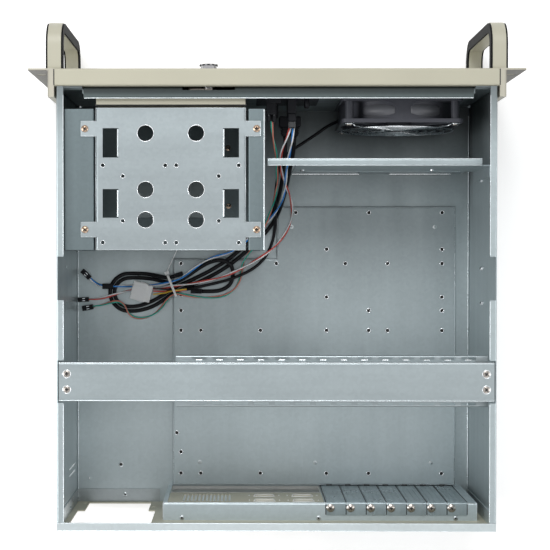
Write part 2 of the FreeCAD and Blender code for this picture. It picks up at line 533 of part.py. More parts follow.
# ---------------------------------------------------------------- ears and handles
def ears_and_handles():
    half_rack, half_panel = RACK_WIDTH / 2, PANEL_WIDTH / 2
    for side, name in ((1, "left"), (-1, "right")):
        def x(value):
            return side * value
        plate = block((x(half_panel), x(half_rack)), (0, EAR_PLATE), (0, PANEL_HEIGHT))
        leg = block((x(half_panel), x(half_panel + EAR_LEG)), (0, EAR_LEG_DEPTH), (0, PANEL_HEIGHT))
        leg = leg.cut(block((x(half_panel - 1), x(half_panel + EAR_LEG + 1)), (PANEL_DEPTH + 6, 40), (-1, 14)))
        ear = fuse([plate, leg])
        tools = []
        for rise in (-1, 1):
            z = PANEL_HEIGHT / 2 + rise * RACK_HOLE_RISE / 2
            tools.append(slot_tool((x(RACK_HOLE_WIDTH / 2), EAR_PLATE / 2, z), RACK_SLOT[0], RACK_SLOT[1], 6,
                                   (1, 0, 0), (0, 1, 0)))
        for z in (40.0, 137.0):
            tools.append(rod((x(half_panel - 1), 8.5, z), (side, 0, 0), 2.1, 12))
        add("rack_ear_" + name, ear.cut(tools))

        x0 = half_panel + EAR_LEG - HANDLE_WIDTH + 0.7
        outline = [(0, HANDLE_HIGH), (-HANDLE_REACH, HANDLE_HIGH), (-HANDLE_REACH, HANDLE_LOW), (0, HANDLE_LOW)]
        grip = folded(outline, "X", sorted((x(x0), x(x0 + HANDLE_WIDTH))), HANDLE_BAR, HANDLE_BEND)
        add("handle_" + name, grip)
        inset = 0.8
        outline = [(0, HANDLE_HIGH - inset), (-HANDLE_REACH + inset, HANDLE_HIGH - inset),
                   (-HANDLE_REACH + inset, HANDLE_LOW + inset), (0, HANDLE_LOW + inset)]
        trims = [folded(outline, "X", sorted((x(a), x(a + TRIM))), HANDLE_BAR - 2 * inset, HANDLE_BEND)
                 for a in (x0 - TRIM, x0 + HANDLE_WIDTH)]
        add("handle_trim_" + name, *trims)


# ---------------------------------------------------------------- drive cage
def drive_cage():
    top = CAGE_TOP
    profile = [(CAGE_LEDGE_RIGHT, top - 7), (CAGE_LEDGE_RIGHT, top), (CAGE_RIGHT, top), (CAGE_RIGHT, SHEET),
               (CAGE_LEFT, SHEET), (CAGE_LEFT, top), (CAGE_LEDGE_LEFT, top), (CAGE_LEDGE_LEFT, top - 34)]
    cage = folded(profile, "Y", (CAGE_FRONT, CAGE_REAR))
    tools = []
    for x, y in bracket_screw_places():
        tools.append(rod((x, y, top - 3), (0, 0, 1), 1.5, 6))
    for z in (45.0, 88.0, 130.0):                  # side slots for drive screws
        for y in (70.0, 135.0):
            tools.append(slot_tool((CAGE_RIGHT, y, z), 16, 4.2, 8, (0, 1, 0), (1, 0, 0)))
    tools.append(block((60, 160), (70, 140), (SHEET - 1, 2 * SHEET + 1)))
    tools.append(block((CAGE_RIGHT - 1, CAGE_RIGHT + SHEET + BEND), CABLE_WAY, (SHEET - 1, CABLE_WAY_HIGH)))
    add("drive_cage", cage.cut(tools))


def bracket_screw_places():
    return [(x, y) for x in (CAGE_LEFT - 21.4, CAGE_RIGHT + 7.7) for y in BRACKET_TAB_Y]


def drive_bracket():
    """Top plate of the cage, with tabs over the cage's ledges and tabs that hang between them."""
    z0 = CAGE_TOP
    centre = (BRACKET_LEFT + BRACKET_RIGHT) / 2
    profile = [(BRACKET_LEFT, z0 + SHEET - BRACKET_SKIRT), (BRACKET_LEFT, z0 + SHEET),
               (BRACKET_RIGHT, z0 + SHEET), (BRACKET_RIGHT, z0 + SHEET - BRACKET_SKIRT)]
    plate = folded(profile, "Y", (BRACKET_FRONT, BRACKET_REAR))
    pieces = [plate]
    half = BRACKET_TAB_WIDTH / 2
    for y in BRACKET_TAB_Y:
        for edge, out in ((BRACKET_LEFT, 1), (BRACKET_RIGHT, -1)):
            pieces.append(block((edge - out * 4, edge + out * BRACKET_TAB_REACH), (y - half, y + half),
                                (z0, z0 + SHEET)))
    windows, tabs = [], []
    grip = DRIVE_WIDTH / 2 + 0.2
    for y0, y1 in ((57.3, 85.9), (116.6, 144.6)):
        for side in (-1, 1):
            a = centre + side * grip
            b = centre + side * (grip + 15.5)
            windows.append(block((a, b), (y0, y1), (z0 - 1, z0 + SHEET + 1)))
            tabs.append(block((a, a + side * SHEET), (y0 + 1, y1 - 1), (z0 - 26, z0 + SHEET)))
    tools = list(windows)
    for x in (centre - 24.7, centre + 24.7):
        for y in (62.2, 117.1, 146.6):
            tools.append(rod((x, y, z0 - 1), (0, 0, 1), 7.75, 4))
    outer, inner_x, middle = 66.4, 46.8, 5.4
    small = [(side * outer, 93.5) for side in (-1, 1)] + [(side * middle, 93.5) for side in (-1, 1)]
    small += [(side * inner_x, y) for side in (-1, 1) for y in (104.0, 147.7)]
    small += [(side * dx, 168.8) for side in (-1, 1) for dx in (outer, middle)]
    tools += down_holes([(centre + dx, y) for dx, y in small], 1.8, z0 - 1, z0 + SHEET + 1)
    tools += down_holes(bracket_screw_places(), 1.8, z0 - 1, z0 + SHEET + 1)
    body = fuse(pieces).cut(tools)
    drive_holes = [rod((centre + side * (grip + 2), y, z0 - 20), (-side, 0, 0), 1.8, 4)
                   for side in (-1, 1) for y in drive_hole_places()]
    add("drive_bracket", fuse([body] + [t.cut(drive_holes) for t in tabs]))
    add("bracket_screws", *[pan_screw((x, y, z0 + SHEET), (0, 0, 1), 1.4, 5) for x, y in bracket_screw_places()])


def drive_hole_places():
    middle = 101.2
    return (middle - DRIVE_HOLE_PITCH / 2, middle + DRIVE_HOLE_PITCH / 2)


# ---------------------------------------------------------------- board tray and divider
def tray_outline(shrink=0.0):
    s = shrink
    notch_x, notch_y = TRAY_NOTCH
    return [(TRAY_RIGHT + s, TRAY_FRONT + s), (notch_x - s, TRAY_FRONT + s), (notch_x - s, notch_y + s),
            (TRAY_LEFT - s, notch_y + s), (TRAY_LEFT - s, TRAY_REAR - s), (TRAY_RIGHT + s, TRAY_REAR - s)]


def prism(points, z0, z1):
    ring = [V(x, y, z0) for x, y in points]
    return Part.Face(Part.makePolygon(ring + [ring[0]])).extrude(V(0, 0, z1 - z0))


def board_holes():
    """Holes for board spacers: columns and rows of the board standards, then the tray's own few."""
    column_a, column_b, column_c = BOARD_A, BOARD_A - BOARD_PITCH[0], BOARD_A - BOARD_PITCH[0] - BOARD_PITCH[1]
    rear = BOARD_REAR
    rows = [rear - step for step in (0, BOARD_DEPTH, 176.5, 193.4, 227.3, 242.7, 282.2)]
    main, compact, narrow, front, low, first = rows[1], rows[2], rows[3], rows[4], rows[5], rows[6]
    places = {column_a: (rear, main, compact, narrow, front, 393.7), column_b: (rear, main, 225.8, low),
              column_c: (rear, main, compact, 225.8, front, low, first), -103.5: (rear, main, compact, first),
              78.0: (rear, main), 13.5: (rear, main), -24.5: (first,), -78.1: (front,), -3.7: (front,),
              -123.8: (front, main), 104.0: (372.9,)}
    return [(x, y) for x, ys in places.items() for y in ys]


def motherboard_tray():
    outer = prism(tray_outline(), SHEET, TRAY_TOP)
    rim = [e for e in outer.Edges if all(abs(v.Point.z - TRAY_TOP) < 1e-6 for v in e.Vertexes)]
    outer = outer.makeFillet(BEND + SHEET, rim)
    inner = prism(tray_outline(SHEET), 0, TRAY_TOP - SHEET)
    tools = [inner] + down_holes(board_holes(), TRAY_HOLE_R, TRAY_TOP - 3, TRAY_TOP + 1)
    add("motherboard_tray", outer.cut(tools))


def divider():
    """Low wall across the front of the board space, with a foot, a folded top and end tabs."""
    y, top = DIVIDER_Y, DIVIDER_TOP
    foot, tab = 9.0, 11.0
    profile = [(y - foot, SHEET), (y, SHEET), (y, top), (y - DIVIDER_FLANGE, top), (y - DIVIDER_FLANGE, top - 5)]
    wall = folded(profile, "X", (DIVIDER_RIGHT, DIVIDER_LEFT))
    wall = wall.cut([block((x0, x1), (y - 3, y + 3), (6, 44)) for x0, x1 in ((-92.7, -20.3), (-191.5, -125.3))])
    wall = wall.cut(block((CABLE_NOTCH, DIVIDER_LEFT + 1), (y - 15, y + 3), (0, top - SHEET - BEND)))
    bead = rod((DIVIDER_RIGHT + 8, y - 0.5, 50), (1, 0, 0), 1.3, CABLE_NOTCH - DIVIDER_RIGHT - 16)
    ends = [block((DIVIDER_RIGHT + 1, -INNER), (y - SHEET, y), (40, 140)),
            block((-INNER, SHEET - INNER), (y - SHEET, y + tab), (40, 140))]
    add("divider", fuse([wall, bead] + ends))


# ---------------------------------------------------------------- crossbar
def bar_screw_places():
    middle = (BAR_FRONT + BAR_REAR) / 2
    return [(side * BAR_SCREW_X, middle + rise * BAR_SCREW_PITCH / 2) for side in (-1, 1) for rise in (-1, 1)]


def crossbar():
    top, low = BODY_HEIGHT, HOLD_TOP
    bar = folded([(BAR_FRONT, low), (BAR_FRONT, top), (BAR_REAR, top), (BAR_REAR, low)][::-1], "X",
                 (-BAR_HALF, BAR_HALF))
    sunk = [Part.makeCone(BAR_SCREW_R + 0.1, BAR_SCREW_R + 1.9, SHEET + 0.1, V(x, y, top - SHEET - 0.05))
            for x, y in bar_screw_places()]
    tools = down_holes(bar_screw_places(), BAR_SCREW_R + 0.1, top - 3, top + 1) + sunk
    relief = [block((side * (BAR_SCREW_X - 9), side * (BAR_HALF + 1)), (BAR_FRONT - 1, BAR_REAR + 1),
                    (low - 1, top - 6)) for side in (-1, 1)]
    add("crossbar", bar.cut(tools + relief))

    screws = []
    for x, y in bar_screw_places():
        shank = rod((x, y, top - 7), (0, 0, 1), BAR_SCREW_R, 6)
        head = Part.makeCone(BAR_SCREW_R, BAR_SCREW_R + 1.6, SHEET - 0.05, V(x, y, top - SHEET))
        screws.append(fuse([shank, head]))
    add("bar_screws", *screws)

    ledge_top = top - SHEET
    for side, name in ((1, "left"), (-1, "right")):
        section = [(side * (BAR_SCREW_X - 8), ledge_top), (side * INNER, ledge_top), (side * INNER, 138)]
        if side > 0:
            section = section[::-1]
        angle = folded(section, "Y", (BAR_FRONT + SHEET + BEND, BAR_REAR - SHEET - BEND))
        holes = down_holes([p for p in bar_screw_places() if p[0] * side > 0], BAR_SCREW_R + 0.1, top - 16, top + 4)
        add("bar_bracket_" + name, angle.cut(holes))


def card_hold_rail():
    """Slotted rail under the crossbar that the card clamps hook into."""
    z = HOLD_TOP
    front, rear = HOLD_FRONT, HOLD_REAR
    profile = [(front, z - 8), (front, z), (rear, z), (rear, z - 8)][::-1]
    rail = folded(profile, "X", (HOLD_RIGHT, HOLD_LEFT))
    tools = []
    for i in range(14):
        x = SLOT_FIRST_X + (6.75 - i) * SLOT_PITCH
        for y in (front + 1.6, rear - 4.4):
            tools.append(block((x - 7.2, x + 7.2), (y, y + 2.8), (z - 3, z + 1)))
    add("card_hold_rail", rail.cut(tools))


# ---------------------------------------------------------------- rear
def slot_places():
    return [SLOT_FIRST_X - i * SLOT_PITCH for i in range(SLOT_COUNT)]


def slot_frame():
    """Recess at the rear: a face with card slots, a ledge above it, and two cheeks."""
    y, top = FRAME_FACE, FRAME_TOP
    wall = folded([(y, SHEET), (y, top), (REAR_INNER, top)][::-1], "X", (FRAME_RIGHT, FRAME_LEFT))
    cheeks = [block((x, x + out * SHEET), (y + BEND, REAR_INNER), (SHEET, top - BEND))
              for x, out in ((FRAME_LEFT, -1), (FRAME_RIGHT, 1))]
    frame = fuse([wall] + cheeks)
    tools = [block((x - SLOT_OPEN / 2, x + SLOT_OPEN / 2), (y - 2, y + 4), (12, 112)) for x in slot_places()]
    tools.append(block((IO_LEFT, IO_RIGHT), (y - 2, y + 4), (IO_APERTURE_LOW - 2, 117)))
    tools += down_holes(slot_screw_places(), 1.5, top - 4, top + 2)
    add("slot_frame", frame.cut(tools))


def slot_screw_places():
    return [(x + SLOT_SCREW_OFFSET, FRAME_FACE + 5.0) for x in slot_places()]


def slot_covers():
    """Blank brackets: a ribbed strip in front of each slot and a tab screwed to the ledge."""
    y, top, t = FRAME_FACE, FRAME_TOP, SLOT_SHEET
    for i, x in enumerate(slot_places()):
        half = SLOT_COVER / 2
        strip = folded([(y - t, TRAY_TOP - 4), (y - t, top + t), (y + 12.5, top + t)][::-1], "X",
                       (x - half, x + half), t, BEND)
        ribs = [block((x + dx - 0.8, x + dx + 0.8), (y - t - 0.5, y - t + 0.2), (TRAY_TOP + 6, top - 8))
                for dx in (-5.2, 0, 5.2)]
        wing = block((x + half - 1, x + SLOT_PITCH / 2 - 0.1), (y + 2, y + 12.5), (top, top + t))
        holes = down_holes([(x + SLOT_SCREW_OFFSET, y + 5.0)], 1.8, top - 1, top + t + 1)
        add("slot_cover_%d" % (i + 1), fuse([strip, wing] + ribs).cut(holes))
    add("slot_screws", *[pan_screw((x, yy, top + t), (0, 0, 1), 1.4, 4.5, 3.9, 2.2)
                         for x, yy in slot_screw_places()])


def io_panel():
    """Painted plate behind the frame's wide opening: board aperture, air slots, socket cut-outs."""
    y = FRAME_FACE + SHEET
    plate = block((FRAME_LEFT - SHEET - CHEEK_GAP, IO_RIGHT - 3), (y, y + SHEET), (SHEET, 118.6))
    centre = (IO_LEFT + IO_RIGHT) / 2
    w, h = IO_APERTURE
    aperture = block((centre - w / 2, centre + w / 2), (y - 1, y + 3), (IO_APERTURE_LOW, IO_APERTURE_LOW + h))
    tools = [aperture]
    for i in range(13):
        x = 93.0 - i * 3.9
        tools.append(slot_tool((x, y + SHEET / 2, 80.0), 46, 2.0, 4, (0, 0, 1), (0, 1, 0)))
    for z in (66.0, 98.0):
        for x in (10.3, -29.5):
            lower = [V(x - 8.2, 0, z - 5.7), V(x + 8.2, 0, z - 5.7), V(x + 9.8, 0, z + 5.7), V(x - 9.8, 0, z + 5.7)]
            shape = Part.Face(Part.makePolygon(lower + [lower[0]])).extrude(V(0, 4, 0))
            shape.translate(V(0, y - 1, 0))
            tools.append(shape)
            tools += [rod((x + s * 12.5, y - 1, z), (0, 1, 0), 1.6, 4) for s in (-1, 1)]
    add("io_panel", plate.cut(tools))
    gap = 0.15
    rim = folded([(y - 0.6, IO_APERTURE_LOW + gap), (y + 3, IO_APERTURE_LOW + gap),
                  (y + 3, IO_APERTURE_LOW + h - gap), (y - 0.6, IO_APERTURE_LOW + h - gap)], "X",
                 (centre - w / 2 + gap, centre + w / 2 - gap), SHIELD_SHEET, 0.4)
    add("io_shield", rim)


def rear_parts():
    top = BODY_HEIGHT
    y0, y1 = REAR_INNER, BODY_DEPTH
    lip = 14.0
    flange = block((-HALF + SEAT, HALF - SEAT), (y1 - REAR_FLANGE, y1), (top - SHEET, top))
    flange = flange.makeFillet(BEND, [e for e in flange.Edges if is_along_x(e) and edge_mid(e).y > y1 - 1
                                      and edge_mid(e).z > top - 0.5])
    back_lip = block((-INNER + 2, INNER - 2), (y0 - SHEET, y0), (top - lip, top - SHEET))
    strips = [folded([(STRIP_END, SHEET), (INNER, SHEET), (INNER, top - SHEET)], "Y", (y0 - REAR_STRIP, y0)),
              block((-INNER, SHEET - INNER), (y0 - REAR_STRIP, y0), (SHEET + BEND, top - SHEET))]
    clear_of_wall = block((-HALF, HALF), (0, y1 - REAR_FLANGE - SEAT), (top - SHEET - BEND, top))
    add("rear_frame", fuse([flange, back_lip] + strips).cut(clear_of_wall))

    panel = block((-HALF + SEAT, HALF - SEAT), (y0, y1), (0, top - SHEET))
    tools = [
        block((PSU_X - PSU_NARROW / 2, PSU_X + PSU_NARROW / 2), (y0 - 1, y1 + 1), (PSU_LOW + 1.0, PSU_STEP + 10)),
        block((PSU_X - PSU_WIDE / 2, PSU_X + PSU_WIDE / 2), (y0 - 1, y1 + 1), (PSU_STEP, PSU_HIGH)),
        block((FRAME_RIGHT + 1.0, FRAME_LEFT - 1.0), (y0 - 1, y1 + 1), (3.0, FRAME_TOP - 1.0)),
    ]
    for x, z in psu_holes():
        tools.append(rod((x, y0 - 1, z), (0, 1, 0), 2.0, 4))
    add("rear_panel", panel.cut(tools))


def psu_holes():
    """Screw holes of a power supply that stands on its narrow side, by its standard."""
    a, low = PSU_X - PSU_SIZE[0] / 2, PSU_LOW
    return [(a + 16, low + 144), (a + 80, low + 144), (a + 80, low + 6), (a + 6, low + 30)]


def edge_mid(edge):
    return edge.valueAt((edge.FirstParameter + edge.LastParameter) / 2)


def is_along_x(edge):
    a, b = edge.Vertexes[0].Point, edge.Vertexes[-1].Point
    return abs(a.y - b.y) < 1e-6 and abs(a.z - b.z) < 1e-6


# ---------------------------------------------------------------- fan
def fan_corners():
    h = FAN_HOLES / 2
    return [(FAN_X + sx * h, FAN_Z + sz * h) for sx in (-1, 1) for sz in (-1, 1)]


def fan():
    """Axial fan: square frame with a round duct, a motor seat on spokes, and a bladed rotor."""
    y0, y1 = WALL_BACK, WALL_BACK + FAN_DEPTH
    h = FAN_SIZE / 2
    flange_t = 3.6
    plates = []
    for a in (y0, y1 - flange_t):
        plate = block((FAN_X - h, FAN_X + h), (a, a + flange_t), (FAN_Z - h, FAN_Z + h))
        plates.append(plate.makeFillet(6.0, [e for e in plate.Edges if is_along_y(e)]))
    square = block((FAN_X - h, FAN_X + h), (y0, y1), (FAN_Z - h, FAN_Z + h))
    duct = rod((FAN_X, y0, FAN_Z), (0, 1, 0), FAN_DUCT_R + 2.2, FAN_DEPTH).common(square)
    posts = [rod((x, y0, z), (0, 1, 0), 4.2, FAN_DEPTH) for x, z in fan_corners()]
    boss = block((FAN_X + h - 2.6, FAN_X + h), (y0 + 14, y0 + 21), LEAD_BOSS_Z)
    body = fuse(plates + [duct, boss] + posts)
    tools = [rod((FAN_X, y0 - 1, FAN_Z), (0, 1, 0), FAN_DUCT_R, FAN_DEPTH + 2)]
    tools += [rod((x, y0 - 1, z), (0, 1, 0), FAN_SCREW_R, FAN_DEPTH + 2) for x, z in fan_corners()]
    body = body.cut(tools)
    seat_y = y1 - 4.0
    seat = rod((FAN_X, seat_y, FAN_Z), (0, 1, 0), FAN_HUB_R + 1, 4.0)
    spokes = []
    for i in range(4):
        angle = 45 + 90 * i
        bar = block((FAN_X + FAN_HUB_R - 2, FAN_X + FAN_DUCT_R + 1), (seat_y, y1), (FAN_Z - 2.5, FAN_Z + 2.5))
        bar.rotate(V(FAN_X, 0, FAN_Z), V(0, 1, 0), angle)
        spokes.append(bar)
    shaft = rod((FAN_X, y0 + 4.0, FAN_Z), (0, 1, 0), 1.5, seat_y - y0 - 3.5)
    add("fan_frame", fuse([body, seat, shaft] + spokes))

    hub_front, hub_back = y0 + 2.0, seat_y - 0.6
    hub = rod((FAN_X, hub_front, FAN_Z), (0, 1, 0), FAN_HUB_R, hub_back - hub_front)
    hub = hub.makeFillet(2.0, [e for e in hub.Edges if abs(edge_mid(e).y - hub_front) < 1e-6
                               and abs(e.Length - 2 * math.pi * FAN_HUB_R) < 1e-3])
    bore = rod((FAN_X, hub_front + 1.5, FAN_Z), (0, 1, 0), 1.5 + PIN_FIT, hub_back)
    mid_y = (hub_front + hub_back) / 2
    blades = []
    for i in range(FAN_BLADES):
        blade = fan_blade(mid_y)
        blade.rotate(V(FAN_X, 0, FAN_Z), V(0, 1, 0), 360.0 / FAN_BLADES * i)
        blades.append(blade)
    add("fan_rotor", fuse([hub] + blades).cut(bore))


def fan_blade(mid_y):
    """One blade, lofted from a steep curved section at the hub to a flatter one at the tip."""
    sections = []
    for radius, chord, pitch, thick in ((FAN_HUB_R - 2, 22.0, 48.0, 2.4), (FAN_DUCT_R - 3.6, 36.0, 26.0, 1.4)):
        a = math.radians(pitch)
        across, rise = chord / 2 * math.cos(a), chord / 2 * math.sin(a)
        bow = 0.10 * chord
        lead, trail = V(-across, -rise, radius), V(across, rise, radius)
        normal = V(-math.sin(a), math.cos(a), 0)
        over = normal * (bow + thick)
        under = normal * bow
        middle = V(0, 0, radius)
        corners = [lead, middle + over, trail, middle + under, lead]
        sections.append(Part.makePolygon(corners))
    blade = Part.makeLoft(sections, True, True)
    blade.translate(V(FAN_X, mid_y, FAN_Z))
    return blade


def fan_guard():
    y = WALL_BACK + FAN_DEPTH
    w = GUARD_WIRE
    ring_y = y + 3.0
    parts = []
    for radius in (GUARD_EYE_R, (GUARD_EYE_R + FAN_DUCT_R) / 2, FAN_DUCT_R):
        ring = rod((FAN_X, ring_y, FAN_Z), (0, 1, 0), radius, w)
        parts.append(ring.cut(rod((FAN_X, ring_y - 1, FAN_Z), (0, 1, 0), radius - w, w + 2)))
    reach = FAN_HOLES / math.sqrt(2)
    for i in range(4):
        arm = block((FAN_X + 15, FAN_X + reach - 4), (ring_y - w, ring_y + 0.2), (FAN_Z - w / 2, FAN_Z + w / 2))
        foot = block((FAN_X + reach - 5.6, FAN_X + reach - 4), (y, ring_y), (FAN_Z - w / 2, FAN_Z + w / 2))
        eye = rod((FAN_X + reach, y, FAN_Z), (0, 1, 0), 4.6, w).cut(
            rod((FAN_X + reach, y - 1, FAN_Z), (0, 1, 0), FAN_SCREW_R + 0.1, w + 2))
        piece = fuse([arm, foot, eye])
        piece.rotate(V(FAN_X, 0, FAN_Z), V(0, 1, 0), 45 + 90 * i)
        parts.append(piece)
    add("fan_guard", fuse(parts))
    add("fan_screws", *[pan_screw((x, y + w, z), (0, 1, 0), FAN_SCREW_R - 0.3, FAN_DEPTH + w - 1, 3.4, 2.0)
                        for x, z in fan_corners()])


# ---------------------------------------------------------------- harness
def cord(label, points, diameter):
    """Tube of straight runs joined by tangent arcs; prints its length and its tightest arc."""
    spots = [V(*p) for p in points]
    runs = [after - before for before, after in zip(spots, spots[1:])]
    pieces, start, length, tightest = [], spots[0], 0.0, 1e9
    for corner, run, onward in zip(spots[1:], runs, runs[1:]):
        along, away = V(run).normalize(), V(onward).normalize()
        turn = along.getAngle(away)
        reach = CORD_ARC * min(run.Length, onward.Length)
        radius = reach / math.tan(turn / 2)
        bend = corner - along * reach
        inward = (away - along * math.cos(turn)).normalize()
        pieces.append(Part.makeCylinder(diameter / 2, (bend - start).Length, start, along))
        disc = Part.Face(Part.Wire(Part.makeCircle(diameter / 2, bend, along)))
        pieces.append(disc.revolve(bend + inward * radius, along.cross(away), math.degrees(turn)))
        length += (bend - start).Length + radius * turn
        tightest = min(tightest, radius)
        start = corner + away * reach
    last = spots[-1] - start
    pieces.append(Part.makeCylinder(diameter / 2, last.Length, start, last))
    length += last.Length
    tube = pieces[0].fuse(pieces[1:])
    share = tube.Volume / (math.pi * diameter ** 2 / 4 * length)
    print("%s: %.0f mm long, tightest arc %.1f mm, volume share %.4f" % (label, length, tightest, share))
    return tube


def plug_on(route, size):
    """Header plug that carries on from the end of a cord's last run."""
    length, width, height = size
    run = V(*route[-1]) - V(*route[-2])
    body = block((0, length), (-width / 2, width / 2), (-height / 2, height / 2))
    body = body.makeChamfer(0.6, [e for e in body.Edges if abs(e.Length - length) < 1e-6])
    body.rotate(V(), V(0, 1, 0), -math.degrees(math.atan2(run.z, math.hypot(run.x, run.y))))
    body.rotate(V(), V(0, 0, 1), math.degrees(math.atan2(run.y, run.x)))
    body.translate(V(*route[-1]))
    return body


def harness():
    """Cables from the sockets, switch, lights and fan, tied together behind the drive cage."""
    socket_back = WALL_BACK + CONTROL_SHEET + SOCKET_DEPTH
    low = block(USB_BLOCK, (socket_back, socket_back + USB_BLOCK_DEPTH), (USB_Z[1] - 9, USB_Z[1] + 9))
    low = low.makeChamfer(1.5, [e for e in low.Edges if is_along_y(e)])
    boot = []
    for y, rise in ((socket_back, 7.0), (socket_back + USB_BOOT_DEPTH, 3.0)):
        corners = [V(USB_X + sx * 4.1, y, USB_Z[0] + sz * rise) for sx, sz in ((-1, -1), (1, -1), (1, 1), (-1, 1))]
        boot.append(Part.makePolygon(corners + corners[:1]))
    high = Part.makeLoft(boot, True, True)
    add("usb_plugs", low, high)

    usb = [cord("usb cable, outer", USB_ROUTE_A, USB_CORD), cord("usb cable, inner", USB_ROUTE_B, USB_CORD)]
    add("usb_cables", *[tube.cut(low) for tube in usb])
    lights = [cord("upper light wires", LIGHT_ROUTE_A, LEAD), cord("lower light wires", LIGHT_ROUTE_B, LEAD)]
    add("light_wires", *[tube.cut(high) for tube in lights])
    add("switch_wires", cord("switch wires", SWITCH_ROUTE, LEAD).cut(PARTS["power_switch"]))

    shell = block(CONNECTOR_X, CONNECTOR_Y, CONNECTOR_Z)
    shell = shell.makeChamfer(2.5, [e for e in shell.Edges if is_along_x(e) and edge_mid(e).z > CONNECTOR_Z[1] - 0.1])
    add("power_connector", shell)
    sleeve = cord("fan sleeve", FAN_ROUTE, FAN_SLEEVE).cut(PARTS["fan_frame"])
    wires = [cord("fan wire", route, FAN_WIRE).cut([sleeve, shell])
             for route in (WIRE_ROUTE_1, WIRE_ROUTE_2, WIRE_ROUTE_3)]
    add("fan_lead", sleeve, *wires)

    sleeve_y, sleeve_z = LIGHT_ROUTE_A[-3][1:]
    shrink = block(SLEEVE_X, (sleeve_y - 3, sleeve_y + 3), (sleeve_z - 2.5, sleeve_z + 2.5))
    shrink = shrink.cut(rod((SLEEVE_X[0] - 1, sleeve_y, sleeve_z), (1, 0, 0), LEAD / 2 + 0.5, 20))
    add("header_plugs", plug_on(USB_ROUTE_A, HEADER_PLUG), plug_on(USB_ROUTE_B, SHORT_PLUG), shrink,
        plug_on(LIGHT_ROUTE_A, HEADER_PLUG), plug_on(LIGHT_ROUTE_B, (12.0, 4.8, 4.4)),
        plug_on(SWITCH_ROUTE, (12.0, 6.0, 4.6)))
    add("cable_tie", cable_tie())


def cable_tie():
    """Band round the bundle, with its lock and its long free tail."""
    thick, width = TIE_BAND
    across = V(TIE_ACROSS[0], TIE_ACROSS[1], 0).normalize()
    along = across.cross(V(0, 0, 1))
    middle = V(TIE_CENTRE[0], TIE_CENTRE[1], 0)

    def ring(grow):
        s0, s1, z0, z1 = TIE_SPAN[0] - grow, TIE_SPAN[1] + grow, TIE_RISE[0] - grow, TIE_RISE[1] + grow
        corners = [V(s, 0, z) for s, z in ((s0, z0), (s1, z0), (s1, z1), (s0, z1))]
        box = Part.Face(Part.makePolygon(corners + corners[:1])).extrude(V(0, width, 0))
        return box.makeFillet(2.4 + grow, [e for e in box.Edges if is_along_y(e)])

    band = ring(thick).cut(ring(0))
    lock = block((TIE_SPAN[0] - thick - 3.4, TIE_SPAN[0] - 0.4), (-1.2, width + 1.2), (11.4, 16.4))
    band = band.fuse(lock)
    turn = math.degrees(math.atan2(across.y, across.x))
    band.rotate(V(), V(0, 0, 1), turn)
    band.translate(middle + along * (width / 2))
    root = middle + across * (TIE_SPAN[0] - thick - 2.4)
    tip = V(TIE_TAIL_END[0], TIE_TAIL_END[1], 0)
    reach = tip - root
    tail = block((0, reach.Length), (-thick / 2, thick / 2), (12.6, 12.6 + width))
    tail.rotate(V(), V(0, 0, 1), math.degrees(math.atan2(reach.y, reach.x)))
    tail.translate(root)
    return band.fuse(tail).removeSplitter()


# ---------------------------------------------------------------- build
chassis_shell()
front_wall()
front_rail()
front_panel()
front_door()
door_lock()
bay_covers()
controls()
ears_and_handles()
drive_cage()
drive_bracket()
motherboard_tray()
divider()
crossbar()
card_hold_rail()
slot_frame()
slot_covers()
io_panel()
rear_parts()
fan()
fan_guard()
harness()

os.makedirs("parts", exist_ok=True)
for name, shape in PARTS.items():
    shape.translate(V(0, -Y_CENTRE, 0))
    if not shape.isValid():
        print("not valid:", name)
    shape.exportStep("parts/%s.step" % name)
print(len(PARTS), "pieces")
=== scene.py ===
# %% [markdown]
# # An empty rackmount server case, seen from above with its cover off
# The case is folded from thin zinc-plated sheet, with a painted front pan, a fan behind a
# wire guard, a cage for the drives and a low harness of cables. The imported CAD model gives
# every shape its place. This notebook gives each surface its finish, and adds the small
# bought-in things: screws, rivets, plugs, wires and the fan's guard.

# %% Load the frame
import math

import bmesh
import bpy
from mathutils import Matrix, Vector


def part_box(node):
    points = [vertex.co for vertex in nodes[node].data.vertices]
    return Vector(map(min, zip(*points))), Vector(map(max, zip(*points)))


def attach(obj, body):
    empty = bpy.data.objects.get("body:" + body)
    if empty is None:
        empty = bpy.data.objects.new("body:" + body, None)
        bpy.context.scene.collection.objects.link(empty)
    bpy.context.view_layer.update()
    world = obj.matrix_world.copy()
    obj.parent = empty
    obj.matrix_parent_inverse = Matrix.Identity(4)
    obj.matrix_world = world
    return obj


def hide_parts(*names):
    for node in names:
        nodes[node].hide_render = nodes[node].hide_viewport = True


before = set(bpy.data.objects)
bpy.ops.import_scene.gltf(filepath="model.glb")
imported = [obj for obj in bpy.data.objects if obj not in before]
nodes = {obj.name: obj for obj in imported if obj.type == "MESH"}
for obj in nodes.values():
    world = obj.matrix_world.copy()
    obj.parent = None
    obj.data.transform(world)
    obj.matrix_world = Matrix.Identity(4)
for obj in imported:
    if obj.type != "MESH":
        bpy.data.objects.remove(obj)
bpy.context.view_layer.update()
print("loaded", len(nodes), "nodes")

# %% [markdown]
# ## Measures
# The case was drawn in millimetres with the face of its front pan at y = 0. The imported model
# is in metres about its own middle, so one helper turns the drawing's places into its places.

# %% From the drawing's millimetres to the frame's metres
MM = 0.001
MIDDLE_Y = 201.0


def at(x, y, z):
    return Vector((x, y - MIDDLE_Y, z)) * MM


def corners(name):
    """Lowest and highest corner of a CAD node."""
    return [Vector(corner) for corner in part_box(name)]


print("front face at y =", round(at(0, 0, 0).y, 4), "m")

# %% [markdown]
# ## Camera
# The case is looked at from above with its front at the top of the frame, so the frame's right
# is -x. The eye is 1.65 m over the floor and leans by about one degree. A long lens keeps the
# whole case in a square frame, and a small shift moves it to its place there.

